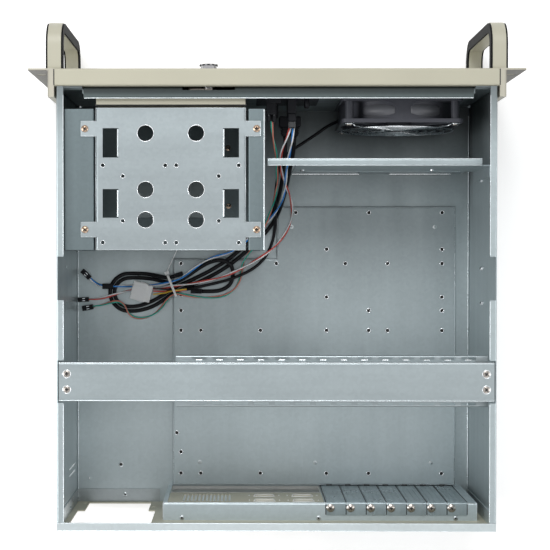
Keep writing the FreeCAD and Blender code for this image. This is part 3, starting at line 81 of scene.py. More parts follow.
# %% Camera
EYE = at(33.17, 185.08, 1653.65)
LEAN_X, LEAN_Y, ROLL = 0.0170, 0.0103, 0.0004   # radians
LENS, SENSOR = 99.618, 36.0   # millimetres
SHIFT_X, SHIFT_Y = 0.0880, 0.0185
lean = (Matrix.Rotation(ROLL, 3, "Z") @ Matrix.Rotation(LEAN_X, 3, "X")
        @ Matrix.Rotation(LEAN_Y, 3, "Y"))
right, down, onward = (Vector((-row[0], row[1], -row[2])) for row in lean)
camera = bpy.data.objects.new("camera", bpy.data.cameras.new("camera"))
bpy.context.scene.collection.objects.link(camera)
stand = Matrix((right, -down, -onward)).transposed().to_4x4()
stand.translation = EYE
camera.matrix_world = stand
camera.data.sensor_width, camera.data.lens = SENSOR, LENS
camera.data.shift_x, camera.data.shift_y = SHIFT_X, SHIFT_Y
camera.data.clip_end = 20.0
bpy.context.scene.camera = camera
print("lens", LENS, "mm, eye", round(EYE.z, 2), "m above the floor")

# %% [markdown]
# ## Node trees
# Finishes and repeated hardware are both node trees. One helper adds a node, and sets each of
# its inputs if it is given a value, or links it if it is given another node's output.


# %% Helpers for any tree
def node(tree, kind, inputs=None, **settings):
    """Add a node, set its properties, and set or link its inputs."""
    made = tree.nodes.new(kind)
    for key, value in settings.items():
        setattr(made, key, value)
    for key, value in (inputs or {}).items():
        if isinstance(value, bpy.types.NodeSocket):
            tree.links.new(value, made.inputs[key])
        else:
            made.inputs[key].default_value = value
    return made


def here(tree):
    """The place of the shaded point on its own piece, in metres."""
    return tree.nodes.new("ShaderNodeTexCoord").outputs["Object"]


def formula(tree, operation, a, b=0.0):
    return node(tree, "ShaderNodeMath", {0: a, 1: b}, operation=operation).outputs[0]


def ranged(tree, value, begin, end, low, high, **settings):
    """Map begin..end to low..high, and hold the ends beyond."""
    sizes = {"Value": value, "From Min": begin, "From Max": end, "To Min": low, "To Max": high}
    return node(tree, "ShaderNodeMapRange", sizes, **settings).outputs["Result"]


def finish(name, colour, rough, metal=0.0, ior=1.5):
    """A material with its colour, gloss and metal set, its tree and its Principled shader."""
    made = bpy.data.materials.new(name)
    made.use_nodes = True
    skin = made.node_tree.nodes["Principled BSDF"]
    for label, value in {"Base Color": (*colour, 1), "Roughness": rough, "Metallic": metal,
                         "IOR": ior}.items():
        skin.inputs[label].default_value = value
    return made, made.node_tree, skin


# %% [markdown]
# ## Floor and light
# The case stands on white paper in a white room. If the room were bright enough to look white
# it would wash out the metal, so it is white only where the camera, a reflection or a clear
# part looks at it, and dimmer where it lights the case. The floor gets a little glow in the
# same way, on top of its own shading, so that it still holds the shadow under the case. The glow
# grows with the distance from the case, because the lamps fade there.


# %% A switch that is 1 for rays that look, and 0 for rays that light
def looking(tree):
    path = tree.nodes.new("ShaderNodeLightPath")
    last = path.outputs["Is Camera Ray"]
    for other in ("Is Glossy Ray", "Is Transmission Ray"):
        last = formula(tree, "MAXIMUM", last, path.outputs[other])
    return last


# %% Floor
FLOOR_SIZE, FLOOR_DROP, PAPER = 8.0, 0.0004, (0.88, 0.88, 0.88)
GLOW_NEAR, GLOW_FAR, NEAR, FAR = 0.42, 0.95, 0.7, 2.2   # glow, and distance in metres
bpy.ops.mesh.primitive_plane_add(size=FLOOR_SIZE, location=(0, 0, -FLOOR_DROP))
floor = bpy.context.object
floor.name = "floor"
paper, tree, skin = finish("white_paper", PAPER, 0.9)
skin.inputs["Emission Color"].default_value = (1, 1, 1, 1)
away = node(tree, "ShaderNodeVectorMath", {0: here(tree)}, operation="LENGTH")
glow = ranged(tree, away.outputs["Value"], NEAR, FAR, GLOW_NEAR, GLOW_FAR)
tree.links.new(formula(tree, "MULTIPLY", looking(tree), glow), skin.inputs["Emission Strength"])
floor.data.materials.append(paper)

# %% Room and lamps
ROOM_LIGHT = 0.26
room = bpy.data.worlds.new("room")
room.use_nodes = True
bpy.context.scene.world = room
tree, sky = room.node_tree, room.node_tree.nodes["Background"]
sky.inputs["Color"].default_value = (1, 1, 1, 1)
tree.links.new(ranged(tree, looking(tree), 0.0, 1.0, ROOM_LIGHT, 1.0), sky.inputs["Strength"])


def soft_box(name, place, aim, size, power):
    """A square lamp; places and size in metres, power in watts."""
    lamp = bpy.data.objects.new(name, bpy.data.lights.new(name, "AREA"))
    bpy.context.scene.collection.objects.link(lamp)
    lamp.data.shape, lamp.data.size, lamp.data.energy = "SQUARE", size, power
    lamp.location = place
    lamp.rotation_euler = (Vector(aim) - lamp.location).to_track_quat("-Z", "Y").to_euler()


soft_box("front_lamp", (0.15, -1.25, 1.75), (0, 0.1, 0.1), 0.9, 22)
soft_box("rear_lamp", (-0.4, 1.7, 1.4), (0, 0, 0.1), 1.2, 5)
soft_box("left_lamp", (1.6, 0.2, 1.25), (-0.15, 0.1, 0.08), 0.8, 17)
soft_box("right_lamp", (-1.6, 0.2, 1.35), (0.1, 0.1, 0.05), 0.8, 7)
bpy.context.scene.view_settings.view_transform = "Standard"

# %% [markdown]
# ## Finishes
# Each finish is one small node tree on the Principled shader. A noise on Object coordinates
# breaks up the colour, so that no surface is one flat colour. In all but the plainest, a
# finer noise breaks up the gloss and gives a slight bump.


# %% Helpers that break up a finish
def noise(tree, scale, stretch=(1, 1, 1), detail=4.0, rough=0.55):
    """Noise on the piece's own coordinates, stretched along an axis for rolling marks."""
    warp = node(tree, "ShaderNodeMapping", {"Scale": stretch, "Vector": here(tree)})
    return node(tree, "ShaderNodeTexNoise", {"Scale": scale, "Detail": detail, "Roughness": rough,
                                             "Vector": warp.outputs["Vector"]}).outputs["Fac"]


def spread(tree, value, low, high):
    """Map the part of a noise where most of it lies to low..high."""
    return ranged(tree, value, 0.3, 0.7, low, high)


def mix(tree, factor, a, b, **settings):
    return node(tree, "ShaderNodeMix", {"Factor": factor, "A": a, "B": b}, data_type="RGBA",
                **settings).outputs["Result"]


def tint(tree, skin, colour, shade):
    """Base colour times a value that varies a little round 1."""
    tree.links.new(mix(tree, 1.0, (*colour, 1), shade, blend_type="MULTIPLY"),
                   skin.inputs["Base Color"])


def bump(tree, skin, value, strength, distance):
    relief = node(tree, "ShaderNodeBump", {"Strength": strength, "Distance": distance,
                                           "Height": value})
    tree.links.new(relief.outputs["Normal"], skin.inputs["Normal"])


# %% [markdown]
# ### Zinc-plated sheet
# Plated sheet is satin and cool grey, cloudy at the scale of a hand and finely streaked the
# way it was rolled. Two noises give the clouds and the streaks, a voronoi the faint spangle.
# The zinc is one finish, but its pieces stand in different shade, and the plain lamps here
# give little of it. So each sheet has a base colour of its own, and some darken along one
# axis: the shell, the tray and the front rail towards the front, with less on the shell's
# walls than on its floor, and the rear frame towards its foot. That is shade painted into
# the colour, and it stays where it is when the lamps change.


# %% Spangle: each voronoi cell is one crystal of zinc, a little lighter or darker
def spangle(tree, scale, depth):
    cells = node(tree, "ShaderNodeTexVoronoi", {"Scale": scale, "Vector": here(tree)})
    split = node(tree, "ShaderNodeSeparateColor", {0: cells.outputs["Color"]})
    return ranged(tree, split.outputs[0], 0.0, 1.0, 1 - depth, 1 + depth)


# %% A shade painted along one axis
def painted_shade_ramp(tree, axis, begin, end, least, both_sides=False):
    """Least at the place begin, 1 from the place end on, in metres along an object axis."""
    place = node(tree, "ShaderNodeSeparateXYZ", {0: here(tree)})
    along = place.outputs[axis]
    if both_sides:
        along = formula(tree, "ABSOLUTE", along)
    return ranged(tree, along, begin, end, least, 1.0, interpolation_type="SMOOTHSTEP")


# %% Zinc sheet
CLOUDS, STREAKS, SPANGLE, DULLNESS, GRAIN = 9.0, 60.0, 320.0, 35.0, 900.0   # noise scales
FOLD_LOW, FOLD_HIGH = 0.004, 0.03   # the heights between which a floor turns into a wall


def zinc_sheet(name, colour, rough, metal, rolled, cloud=0.05, streak=0.04, shade_end=(),
               wall_shade_end=()):
    made, tree, skin = finish(name, colour, rough, metal)
    shade = spread(tree, noise(tree, CLOUDS, detail=3.0), 1 - cloud, 1 + cloud)
    factors = [spread(tree, noise(tree, STREAKS, rolled, 5.0, 0.7), 1 - streak, 1 + streak),
               spangle(tree, SPANGLE, 0.03)]
    # Painted shade towards one end of the piece; on the shell the walls get less of it
    if shade_end:
        painted = painted_shade_ramp(tree, *shade_end)
        if wall_shade_end:
            walls = formula(tree, "MULTIPLY", painted_shade_ramp(tree, "Z", FOLD_LOW, FOLD_HIGH, 0.0),
                            painted_shade_ramp(tree, *wall_shade_end))
            painted = formula(tree, "MAXIMUM", painted, walls)
        factors.append(painted)
    for factor in factors:
        shade = formula(tree, "MULTIPLY", shade, factor)
    tint(tree, skin, colour, shade)
    dull = spread(tree, noise(tree, DULLNESS, rolled, 4.0), rough - 0.06, rough + 0.08)
    tree.links.new(dull, skin.inputs["Roughness"])
    bump(tree, skin, noise(tree, GRAIN, rolled, 2.0), 0.05, 0.0002)
    return made


ALONG_X, ALONG_Y = (0.04, 1, 1), (1, 0.04, 1)   # the way the sheet was rolled
zinc = zinc_sheet("zinc_sheet", (0.375, 0.435, 0.455), 0.34, 0.6, ALONG_Y)
zinc_shell = zinc_sheet("zinc_shell", (0.385, 0.445, 0.463), 0.34, 0.6, ALONG_Y,
                        shade_end=("Y", -0.20, -0.03, 0.15), wall_shade_end=("Y", -0.20, -0.11, 0.35))
zinc_wall = zinc_sheet("zinc_wall", (0.150, 0.180, 0.188), 0.38, 0.5, ALONG_X)
zinc_tray = zinc_sheet("zinc_tray", (0.385, 0.447, 0.467), 0.34, 0.6, ALONG_Y,
                       shade_end=("Y", -0.06, 0.10, 0.68))
zinc_across = zinc_sheet("zinc_sheet_across", (0.50, 0.575, 0.605), 0.32, 0.6, ALONG_X)
zinc_bright = zinc_sheet("zinc_bright", (0.56, 0.625, 0.645), 0.32, 0.6, ALONG_X,
                         shade_end=("Z", 0.02, 0.16, 0.58))
zinc_plate = zinc_sheet("zinc_plate", (0.335, 0.382, 0.400), 0.33, 0.6, ALONG_X, 0.07)
zinc_cage = zinc_sheet("zinc_cage", (0.150, 0.190, 0.202), 0.36, 0.6, ALONG_Y)
zinc_rail = zinc_sheet("zinc_rail", (0.085, 0.108, 0.110), 0.34, 0.6, ALONG_X,
                       shade_end=("Y", -0.1795, -0.1735, 0.40))
zinc_bar = zinc_sheet("zinc_bar", (0.350, 0.402, 0.420), 0.31, 0.6, ALONG_X, 0.07)
zinc_cover = zinc_sheet("zinc_cover", (0.32, 0.385, 0.41), 0.30, 0.6, ALONG_Y, 0.06, 0.12)
tin_shield = zinc_sheet("tin_shield", (0.42, 0.43, 0.42), 0.36, 0.7, ALONG_X)
# Bright zinc for the beads along edges and folds: a painted highlight
edge_highlight = zinc_sheet("edge_highlight", (0.60, 0.65, 0.67), 0.28, 0.8, ALONG_X)
print("zinc finishes:", [m.name for m in bpy.data.materials if m.name.startswith("zinc")])


# %% [markdown]
# ### Powder coat, plastics and bright metal
# Powder coat is matt with a fine orange-peel skin, and moulded plastic has a grain of the same
# kind. Plated screws are bright, and those of the bracket are warmer in colour.


# %% Paint and plastic
COAT_CLOUDS = 14.0


def coated(name, colour, rough, peel, depth, vary=0.03, shine=0.5):
    """Paint or plastic: peel is its grain's scale and depth the grain's height in metres."""
    made, tree, skin = finish(name, colour, rough)
    skin.inputs["Specular IOR Level"].default_value = shine
    clouds = noise(tree, COAT_CLOUDS, detail=3.0)
    tint(tree, skin, colour, spread(tree, clouds, 1 - vary, 1 + vary))
    grain = noise(tree, peel, detail=2.0)
    tree.links.new(spread(tree, grain, rough - 0.05, rough + 0.07), skin.inputs["Roughness"])
    bump(tree, skin, grain, 0.25, depth)
    return made


beige_coat = coated("beige_coat", (0.495, 0.480, 0.380), 0.5, 1500.0, 0.00012)
beige_ear = coated("beige_ear", (0.500, 0.480, 0.400), 0.5, 1500.0, 0.00012)
beige_coat_handle = coated("beige_coat_handle", (0.490, 0.475, 0.38), 0.42, 1300.0, 0.00008)
beige_cover = coated("beige_cover", (0.42, 0.405, 0.32), 0.55, 1800.0, 0.00006)
black_moulded = coated("black_moulded", (0.014, 0.015, 0.018), 0.50, 2200.0, 0.00006, 0.08, 0.12)
strain_grey = coated("strain_grey", (0.16, 0.165, 0.17), 0.50, 2200.0, 0.00006, 0.08, 0.3)
black_satin = coated("black_satin", (0.062, 0.065, 0.078), 0.36, 1800.0, 0.00005, 0.08, 0.18)
# Paler than black_satin: painted light where the lamps fall on the fan's drum
fan_lit_skin = coated("fan_lit_skin", (0.14, 0.145, 0.16), 0.42, 900.0, 0.00008, 0.12, 0.3)
black_trim = coated("black_trim", (0.008, 0.008, 0.009), 0.6, 1800.0, 0.00005, 0.10, 0.08)
black_vinyl = coated("black_vinyl", (0.010, 0.010, 0.012), 0.38, 1600.0, 0.00004, 0.10, 0.15)
white_moulded_and_highlight = coated("white_moulded_and_highlight", (0.90, 0.91, 0.92), 0.42, 1600.0, 0.00005)
key_plastic = coated("key_plastic", (0.55, 0.54, 0.46), 0.40, 1600.0, 0.00005)

# %% The back of each ear is painted dark grey: painted shade on its rear face
EAR_BACK, EAR_BACK_SHADE = at(0, 2.0, 0).y, (0.125, 0.118, 0.100, 1)
OUTER_X, CASE_X = 0.2245, 0.2195   # beyond the first it is painted shade, within the second beige
tree = beige_ear.node_tree
colour = tree.nodes["Principled BSDF"].inputs["Base Color"]
near_case = painted_shade_ramp(tree, "X", OUTER_X, CASE_X, 0.0, both_sides=True)
in_front = painted_shade_ramp(tree, "Y", EAR_BACK - 0.1 * MM, EAR_BACK - 0.6 * MM, 0.0)
beige = formula(tree, "MAXIMUM", near_case, in_front)
tree.links.new(mix(tree, beige, EAR_BACK_SHADE, colour.links[0].from_socket), colour)
print("ear_shade_paint on the ears' backs, behind y =", round(EAR_BACK, 4))


# %% Bright metal
BLOTCHES, SCUFFS = 700.0, 1400.0


def plated(name, colour, rough):
    made, tree, skin = finish(name, colour, rough, metal=1.0)
    tint(tree, skin, colour, spread(tree, noise(tree, BLOTCHES, detail=3.0), 0.85, 1.1))
    scuffs = noise(tree, SCUFFS, detail=3.0)
    tree.links.new(spread(tree, scuffs, rough - 0.07, rough + 0.10), skin.inputs["Roughness"])
    bump(tree, skin, scuffs, 0.08, 0.00005)
    return made


nickel = plated("nickel", (0.37, 0.345, 0.32), 0.22)
nickel_warm = plated("nickel_warm", (0.34, 0.25, 0.185), 0.24)
stud_steel = plated("stud_steel", (0.42, 0.46, 0.47), 0.26)
# Bright plating for wire, contacts and some rivets; on hole rims and some beads it is a painted
# highlight
bright_metal_and_highlight = plated("bright_metal_and_highlight", (0.86, 0.88, 0.90), 0.22)
guard_wire = plated("guard_wire", (0.52, 0.55, 0.57), 0.22)
lock_chrome = plated("lock_chrome", (0.42, 0.42, 0.43), 0.14)


# %% Plain finishes: the dark of a recess, and the lens of a light pipe
def plain(name, colour, rough, scale, low, high, ior=1.5):
    made, tree, skin = finish(name, colour, rough, ior=ior)
    tint(tree, skin, colour, spread(tree, noise(tree, scale), low, high))
    return made


recess_shade = plain("recess_shade", (0.012, 0.012, 0.012), 0.6, 500.0, 0.8, 1.2)
lens_green = plain("lens_green", (0.10, 0.42, 0.16), 0.12, 300.0, 0.9, 1.1, 1.49)

# %% Coloured vinyl of the thin wires
VINYL = {"red": (0.70, 0.085, 0.065), "green": (0.03, 0.46, 0.36), "orange": (0.72, 0.24, 0.18),
         "blue": (0.03, 0.30, 0.85), "white": (0.97, 0.98, 1.0), "yellow": (0.78, 0.52, 0.04),
         "black": (0.02, 0.02, 0.022)}
wire_colours = {name: coated("vinyl_" + name, colour, 0.32, 1500.0, 0.00003, 0.06)
                for name, colour in VINYL.items()}

# %% [markdown]
# ### Which node wears what
# The CAD nodes keep their meshes, and only their material slots change. Fourteen of them get
# a finer stand-in further on.

# %% Dress the CAD nodes
DRESS = {
    zinc: ["divider"],
    zinc_shell: ["chassis_shell"],
    zinc_wall: ["front_wall"],
    zinc_tray: ["motherboard_tray"],
    zinc_bright: ["rear_frame"],
    zinc_across: ["slot_frame"],
    zinc_rail: ["front_rail"],
    zinc_plate: ["drive_bracket", "card_hold_rail"],
    zinc_cage: ["drive_cage"],
    zinc_bar: ["crossbar", "bar_bracket_left", "bar_bracket_right"],
    zinc_cover: [f"slot_cover_{i}" for i in range(1, 8)],
    tin_shield: ["io_shield"],
    beige_coat: ["front_panel", "front_door", "rear_panel", "io_panel"],
    beige_ear: ["rack_ear_left", "rack_ear_right"],
    beige_coat_handle: ["handle_left", "handle_right"],
    beige_cover: ["bay_cover_top", "bay_cover_middle", "bay_cover_bottom"],
    black_trim: ["handle_trim_left", "handle_trim_right"],
    black_moulded: ["control_plate", "power_switch", "reset_switch", "usb_plugs", "usb_ports",
                    "header_plugs"],
    black_satin: ["fan_rotor", "fan_frame"],
    nickel: ["bar_screws", "slot_screws", "fan_screws", "lock_cam", "door_hinge_pins"],
    nickel_warm: ["bracket_screws"],
    bright_metal_and_highlight: ["fan_guard"],
    lock_chrome: ["lock_body", "lock_plug"],
    key_plastic: ["power_button", "reset_button"],
    lens_green: ["indicator_lights"],
    black_vinyl: ["usb_cables", "fan_lead"],
    wire_colours["white"]: ["light_wires", "switch_wires"],
    white_moulded_and_highlight: ["power_connector", "cable_tie"],
}
for material, names in DRESS.items():
    for name in names:
        nodes[name].data.materials.clear()
        nodes[name].data.materials.append(material)
dressed_nodes = {name for names in DRESS.values() for name in names}
print("nodes without a finish:", [name for name in nodes if name not in dressed_nodes])

# %% [markdown]
# ## The harness
# Two thick USB cables, two pairs for the lights, one pair for the power switch and the fan's
# lead leave the front, dive under the drive cage's rear corner and lie in a tied bundle on the
# floor. Each route is the same short list of control points as in the drawing. A NURBS curve
# of order 3 led by such points is smooth everywhere, as a hanging cable is.

# %% Routes, in the drawing's millimetres
ROUTES = {
    "cable_outer": [
        (-10.5, 59, 104.1), (-10.5, 70, 103), (-10, 82, 95), (-9, 95, 79), (-7.5, 109, 58),
        (-4.5, 123, 36), (1.5, 137, 19), (10.5, 149, 9.5), (21, 160.5, 6.8),
        (33.6, 173.2, 11.5), (47, 184.2, 11.4), (60.5, 193.2, 10.6), (75, 201.2, 10.6),
        (90.5, 208.6, 10.9), (107.9, 216.1, 12.5), (119.5, 224.2, 6.2), (132.5, 231.5, 3.6),
        (147.5, 236.6, 3.6), (162.8, 236.3, 3.6), (171.8, 227.3, 3.6), (171.8, 214.7, 3.6),
        (162.8, 205.7, 3.6), (148, 204.9, 3.6), (134.5, 205.8, 4), (122.5, 207.8, 7.6),
        (109.6, 211.6, 12.4), (98.5, 207, 11.2), (88, 200.3, 10.6), (78, 193.2, 11),
        (67, 187.4, 13.4), (54.5, 185.2, 16.6), (45, 190.5, 16.3), (42.6, 201, 11.4),
        (45.4, 212.2, 10.4), (55.5, 218.8, 10.4), (68, 219.9, 10.4), (77, 219.6, 10.6)],
    "cable_inner": [
        (-19.5, 59, 104.1), (-19.5, 70, 103), (-18, 82, 94), (-15.5, 95, 77), (-13, 110, 54),
        (-9.5, 125, 31), (-3.5, 140, 14.5), (5, 153, 7.6), (16.5, 164.8, 6.8),
        (29.6, 177.4, 11.5), (43, 188.4, 11.4), (57, 197.8, 10.6), (72, 205.9, 10.6),
        (88, 213.2, 10.9), (106.1, 220.4, 12.5), (117.5, 228.6, 6.2), (130.5, 236.8, 3.6),
        (147, 241.5, 3.6), (164.8, 241.1, 3.6), (176.6, 229.3, 3.6), (176.6, 212.7, 3.6),
        (164.8, 200.9, 3.6), (149, 200.3, 3.6), (135, 201, 4.4), (123.5, 203.4, 8.4),
        (112.5, 205.4, 11.8), (106, 203, 11.8)],
    "fan_sleeve": [
        (-66.8, 41.5, 69.9), (-57, 45.5, 71), (-43, 56, 76), (-29, 65.5, 83), (-17.5, 73, 88),
        (-9, 81.5, 87), (-4.6, 91, 79.5), (-3, 103, 66), (-1.8, 115, 52), (-1.8, 127, 37.5),
        (-2.2, 138, 24.5), (-2, 149.5, 14), (-0.8, 161, 8.6), (2.8, 172.3, 7.6), (8, 182.5, 10),
        (16, 191.2, 10.4), (26, 198, 12), (36.5, 202.8, 15), (48, 207.2, 15.6),
        (61, 210.6, 15.4), (74, 213.4, 15.4), (86, 216, 15.6), (93, 217.1, 15.8)],
    "fan_black": [
        (92.6, 216.2, 15.3), (101, 217.3, 15.9), (107.2, 217.6, 16.1), (117.2, 217.5, 11.8),
        (129.4, 216.3, 9.8)],
    "fan_red": [
        (92.6, 217.85, 15.3), (100.5, 219, 15.9), (106.6, 219.2, 16.1), (117.2, 220, 11.4),
        (129.4, 219.5, 9.8)],
    "fan_yellow": [
        (92.6, 217.05, 16.75), (100.5, 218.2, 17.5), (107, 218.5, 17.8), (118.6, 222, 13),
        (129.4, 223, 9.8)],
    "switch_pair": [
        (4.05, 47.9, 140.3), (3.5, 60, 137), (1, 71, 128), (-1.6, 82, 113), (-2.2, 94, 95),
        (-3, 106, 78), (-1.5, 118, 58), (1.5, 130, 42), (6, 141.5, 30), (11, 154, 20.5),
        (17, 166, 15), (25.5, 177.5, 14), (31.8, 187, 12.4), (34.3, 198, 10), (36, 209, 9.8),
        (43, 219.5, 9.8), (54.5, 225.3, 9.8), (68, 226.5, 9.8), (82, 226, 10.6),
        (94, 223.8, 14), (105.7, 221.2, 16.3), (114.5, 228.6, 11.8), (121, 238, 5.2),
        (129.5, 245.5, 2.9), (139.5, 249, 2.9), (149.5, 248.8, 3.6), (156.5, 244, 7.6),
        (160, 235, 8.4), (167, 230, 8.4), (177, 232, 8), (186, 235, 4.7), (195, 236.5, 4.2)],
    "light_upper": [
        (-17.7, 53.9, 138.2), (-16.8, 66, 136), (-14.3, 78, 126), (-12, 90, 110),
        (-11.5, 102, 90), (-11, 114, 68), (-8, 125, 48), (-2.5, 135, 33), (6, 145, 22),
        (16.5, 154, 16), (26.5, 163, 13.4), (35, 170, 12.8), (45, 177.5, 12.8),
        (55, 180.6, 12.8), (66, 183.2, 14.4), (76, 188.4, 15.4), (85, 194.9, 15.2),
        (93, 201, 15.2), (101, 206.5, 16), (110.4, 209.7, 16.3), (119.5, 211.8, 12.4),
        (129.5, 213.2, 5.2), (141, 213.7, 2.9), (154, 214, 2.9), (162.5, 214.2, 5.3),
        (170, 214.3, 8.3), (185.5, 214.3, 8.3), (193.5, 210.8, 4), (198.5, 205.6, 4)],
    "light_lower": [
        (-14.5, 53.9, 138.3), (-11, 65, 135), (-6.5, 75, 125), (-5, 86, 110), (-7, 97, 92),
        (-11.5, 108, 70), (-16.5, 117, 48), (-19.8, 127, 28), (-20.3, 138, 14.5),
        (-17, 151, 10.2), (-9.5, 163, 10.8), (0, 173.5, 12.4), (11, 181.6, 12.8),
        (22.5, 188.5, 13.4), (33, 194.5, 15.8), (45.5, 200.6, 17.2), (60, 205.6, 15.6),
        (75, 209, 15.4), (92, 212, 15.6), (108.7, 213.9, 16.3), (118, 215.8, 9.8),
        (128, 217.3, 3.4), (140, 218, 2.9), (154, 218.7, 2.9), (164, 220.9, 5.6),
        (172, 223.3, 8.2), (182, 226.5, 6.4), (191, 228.2, 4), (199.5, 228.6, 3.9)],
}


# %% One smooth line for a route
def smooth_line(points):
    """The points of a route's own NURBS curve, read from it without a bevel."""
    data = bpy.data.curves.new("line", "CURVE")
    data.dimensions, data.resolution_u = "3D", 8
    spline = data.splines.new("NURBS")
    spline.points.add(len(points) - 1)
    for control, place in zip(spline.points, points):
        control.co = (*at(*place), 1.0)
    spline.order_u, spline.use_endpoint_u = 3, True
    carrier = bpy.data.objects.new("line", data)
    bpy.context.scene.collection.objects.link(carrier)
    bpy.context.view_layer.update()
    flat = bpy.data.meshes.new_from_object(carrier)
    line = [v.co.copy() for v in flat.vertices]
    bpy.data.objects.remove(carrier)
    bpy.data.curves.remove(data)
    bpy.data.meshes.remove(flat)
    return line


lines = {name: smooth_line(points) for name, points in ROUTES.items()}
for name, line in lines.items():
    print(name, round(sum((b - a).length for a, b in zip(line, line[1:])) * 1000), "mm")

# %% [markdown]
# A strand is swept along its line with a frame that is carried from point to point, so that it
# never flips. For a pair of wires, each strand also runs round the line as the pair is twisted.
# The skins of all swept and turned shapes are quads between neighbouring rings of corners.


# %% Skins between rings
def bridge(mesh, one, two):
    """Quads between two rings of corners, in order round them."""
    return [mesh.faces.new(quad) for quad in zip(one, one[1:] + one[:1], two[1:] + two[:1], two)]


def tube(mesh, rings, slot=0, smooth=True, flip=False):
    """A closed skin over a row of rings; it gives back the faces of its sides."""
    sides = [face for one, two in zip(rings, rings[1:]) for face in bridge(mesh, one, two)]
    for face in sides:
        face.material_index, face.smooth = slot, smooth
    for cap in (rings[0][::-1] if flip else rings[0], rings[-1]):
        mesh.faces.new(cap).material_index = slot
    return sides


def round_angles(count):
    return [2 * math.pi * k / count for k in range(count)]


# %% Sweep strands along a line
def carried_frames(line):
    """Two side directions at each point, carried along without twist."""
    runs = [(b - a).normalized() for a, b in zip(line, line[1:])]
    between = [(a + b).normalized() for a, b in zip(runs, runs[1:])]
    side = runs[0].cross(Vector((0, 0, 1)))
    side = side.normalized() if side.length > 0.1 else Vector((1, 0, 0))
    frames = []
    for tangent in [runs[0]] + between + [runs[-1]]:
        side = (side - tangent * side.dot(tangent)).normalized()
        frames.append((side, tangent.cross(side)))
    return frames


def sweep(mesh, line, radius, sides=12, offset=0.0, phase=0.0, turns_per_m=0.0, slot=0):
    """Add one closed tube to a bmesh, round the line or winding about it."""
    run, rings, last = 0.0, [], line[0]
    for point, (side, up) in zip(line, carried_frames(line)):
        run += (point - last).length
        last = point
        spin = phase + 2 * math.pi * turns_per_m * run
        centre = point + (side * math.cos(spin) + up * math.sin(spin)) * offset
        rings.append([mesh.verts.new(centre + (side * math.cos(a) + up * math.sin(a)) * radius)
                      for a in round_angles(sides)])
    tube(mesh, rings, slot, flip=True)


# %% Put a mesh in the scene
def keep(name, data, body="case", stands_for=None):
    """An object that rides on a body and may replace a node."""
    made = bpy.data.objects.new(name, data)
    bpy.context.scene.collection.objects.link(made)
    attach(made, body)
    if stands_for:
        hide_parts(stands_for)
    return made


def piece(name, mesh, materials, stands_for=None, body="case"):
    """Turn a bmesh into a kept object."""
    bmesh.ops.recalc_face_normals(mesh, faces=mesh.faces)
    data = bpy.data.meshes.new(name)
    mesh.to_mesh(data)
    mesh.free()
    for material in materials:
        data.materials.append(material)
    return keep(name, data, body, stands_for)


# %% The cords: two USB cables, three pairs of thin wires, and the fan's sleeve and its wires
USB_R, PAIR_R, FAN_R, WIRE_R = 2.1 * MM, 1.5 * MM, 1.6 * MM, 0.75 * MM
STRAND_R, STRAND_OFF, TWIST = 0.72 * MM, 0.76 * MM, 14.0   # twist in turns per metre
CORDS = {
    # radius and sides of a strand, the strands' colours, slot, node stood for, and then
    # the cord's length in metres, its radius, its far end and what is on it
    "cable_outer": (USB_R, 16, [black_vinyl], "cord_black", "usb_cables",
                    0.536, USB_R, "plug", ["plug_outer"]),
    "cable_inner": (USB_R, 16, [black_vinyl], "cord_black", "usb_cables",
                    0.437, USB_R, "plug", ["plug_inner"]),
    "switch_pair": (STRAND_R, 10, ["green", "orange"], "wire_vinyl", "switch_wires",
                    0.416, PAIR_R, "plug", ["plug_switch"]),
    "light_upper": (STRAND_R, 10, ["blue", "white"], "wire_vinyl", "light_wires",
                    0.376, PAIR_R, "plug", ["plug_light_upper", "shrink_sleeve"]),
    "light_lower": (STRAND_R, 10, ["red", "white"], "wire_vinyl", "light_wires",
                    0.412, PAIR_R, "plug", ["plug_light_lower"]),
    "fan_sleeve": (FAN_R, 14, [black_vinyl], "cord_black", "fan_lead",
                   0.304, FAN_R, "fitting", ["fan_collar"]),
    **{"fan_" + colour: (WIRE_R, 10, [colour], "cord_black", "fan_lead",
                         length, WIRE_R, "connector", ["fan_plug"])
       for colour, length in (("black", 0.038), ("red", 0.038), ("yellow", 0.039))},
}
for name, (radius, sides, colours, slot, stood_for, *_) in CORDS.items():
    mesh = bmesh.new()
    offset, twist = (STRAND_OFF, TWIST) if len(colours) == 2 else (0.0, 0.0)
    for k in range(len(colours)):
        sweep(mesh, lines[name], radius, sides, offset, math.pi * k, twist, k)
    piece(name, mesh, [wire_colours.get(c, c) for c in colours], stood_for)

# %% [markdown]
# ### Plugs
# A header plug is a small black housing with a window over each contact. It is drawn lying
# along +x at the origin, then turned to carry on from its cord's last run.


# %% Boxes, and a box that carries on from a cord
def join(mesh, other, slot=0, move=None):
    """Move another bmesh's faces into this one, through a matrix if one is given."""
    spot = {v: mesh.verts.new(move @ v.co if move else v.co) for v in other.verts}
    for f in other.faces:
        face = mesh.faces.new([spot[v] for v in f.verts])
        face.material_index = slot if slot is not None else f.material_index
        face.smooth = f.smooth
    other.free()


def box(mesh, low, high, slot=0, bevel=0.0, segments=2):
    """Add a box, with all its edges rounded if a bevel is given."""
    made = bmesh.new()
    bmesh.ops.create_cube(made, size=1.0)
    size = [h - l for l, h in zip(low, high)]
    for v in made.verts:
        v.co = Vector([l + (c + 0.5) * s for l, c, s in zip(low, v.co, size)])
    if bevel:
        bmesh.ops.bevel(made, geom=made.edges[:], offset=bevel, segments=segments,
                        affect="EDGES", profile=0.5)
    join(mesh, made, slot)


def facing(line):
    """The matrix that takes +x to a line's last direction, with z as near up as it can be."""
    tip, before = line[-1], line[-3]
    x = (tip - before).normalized()
    y = Vector((0, 0, 1)).cross(x).normalized()
    return Matrix.Translation(tip) @ Matrix((x, y, x.cross(y))).transposed().to_4x4()


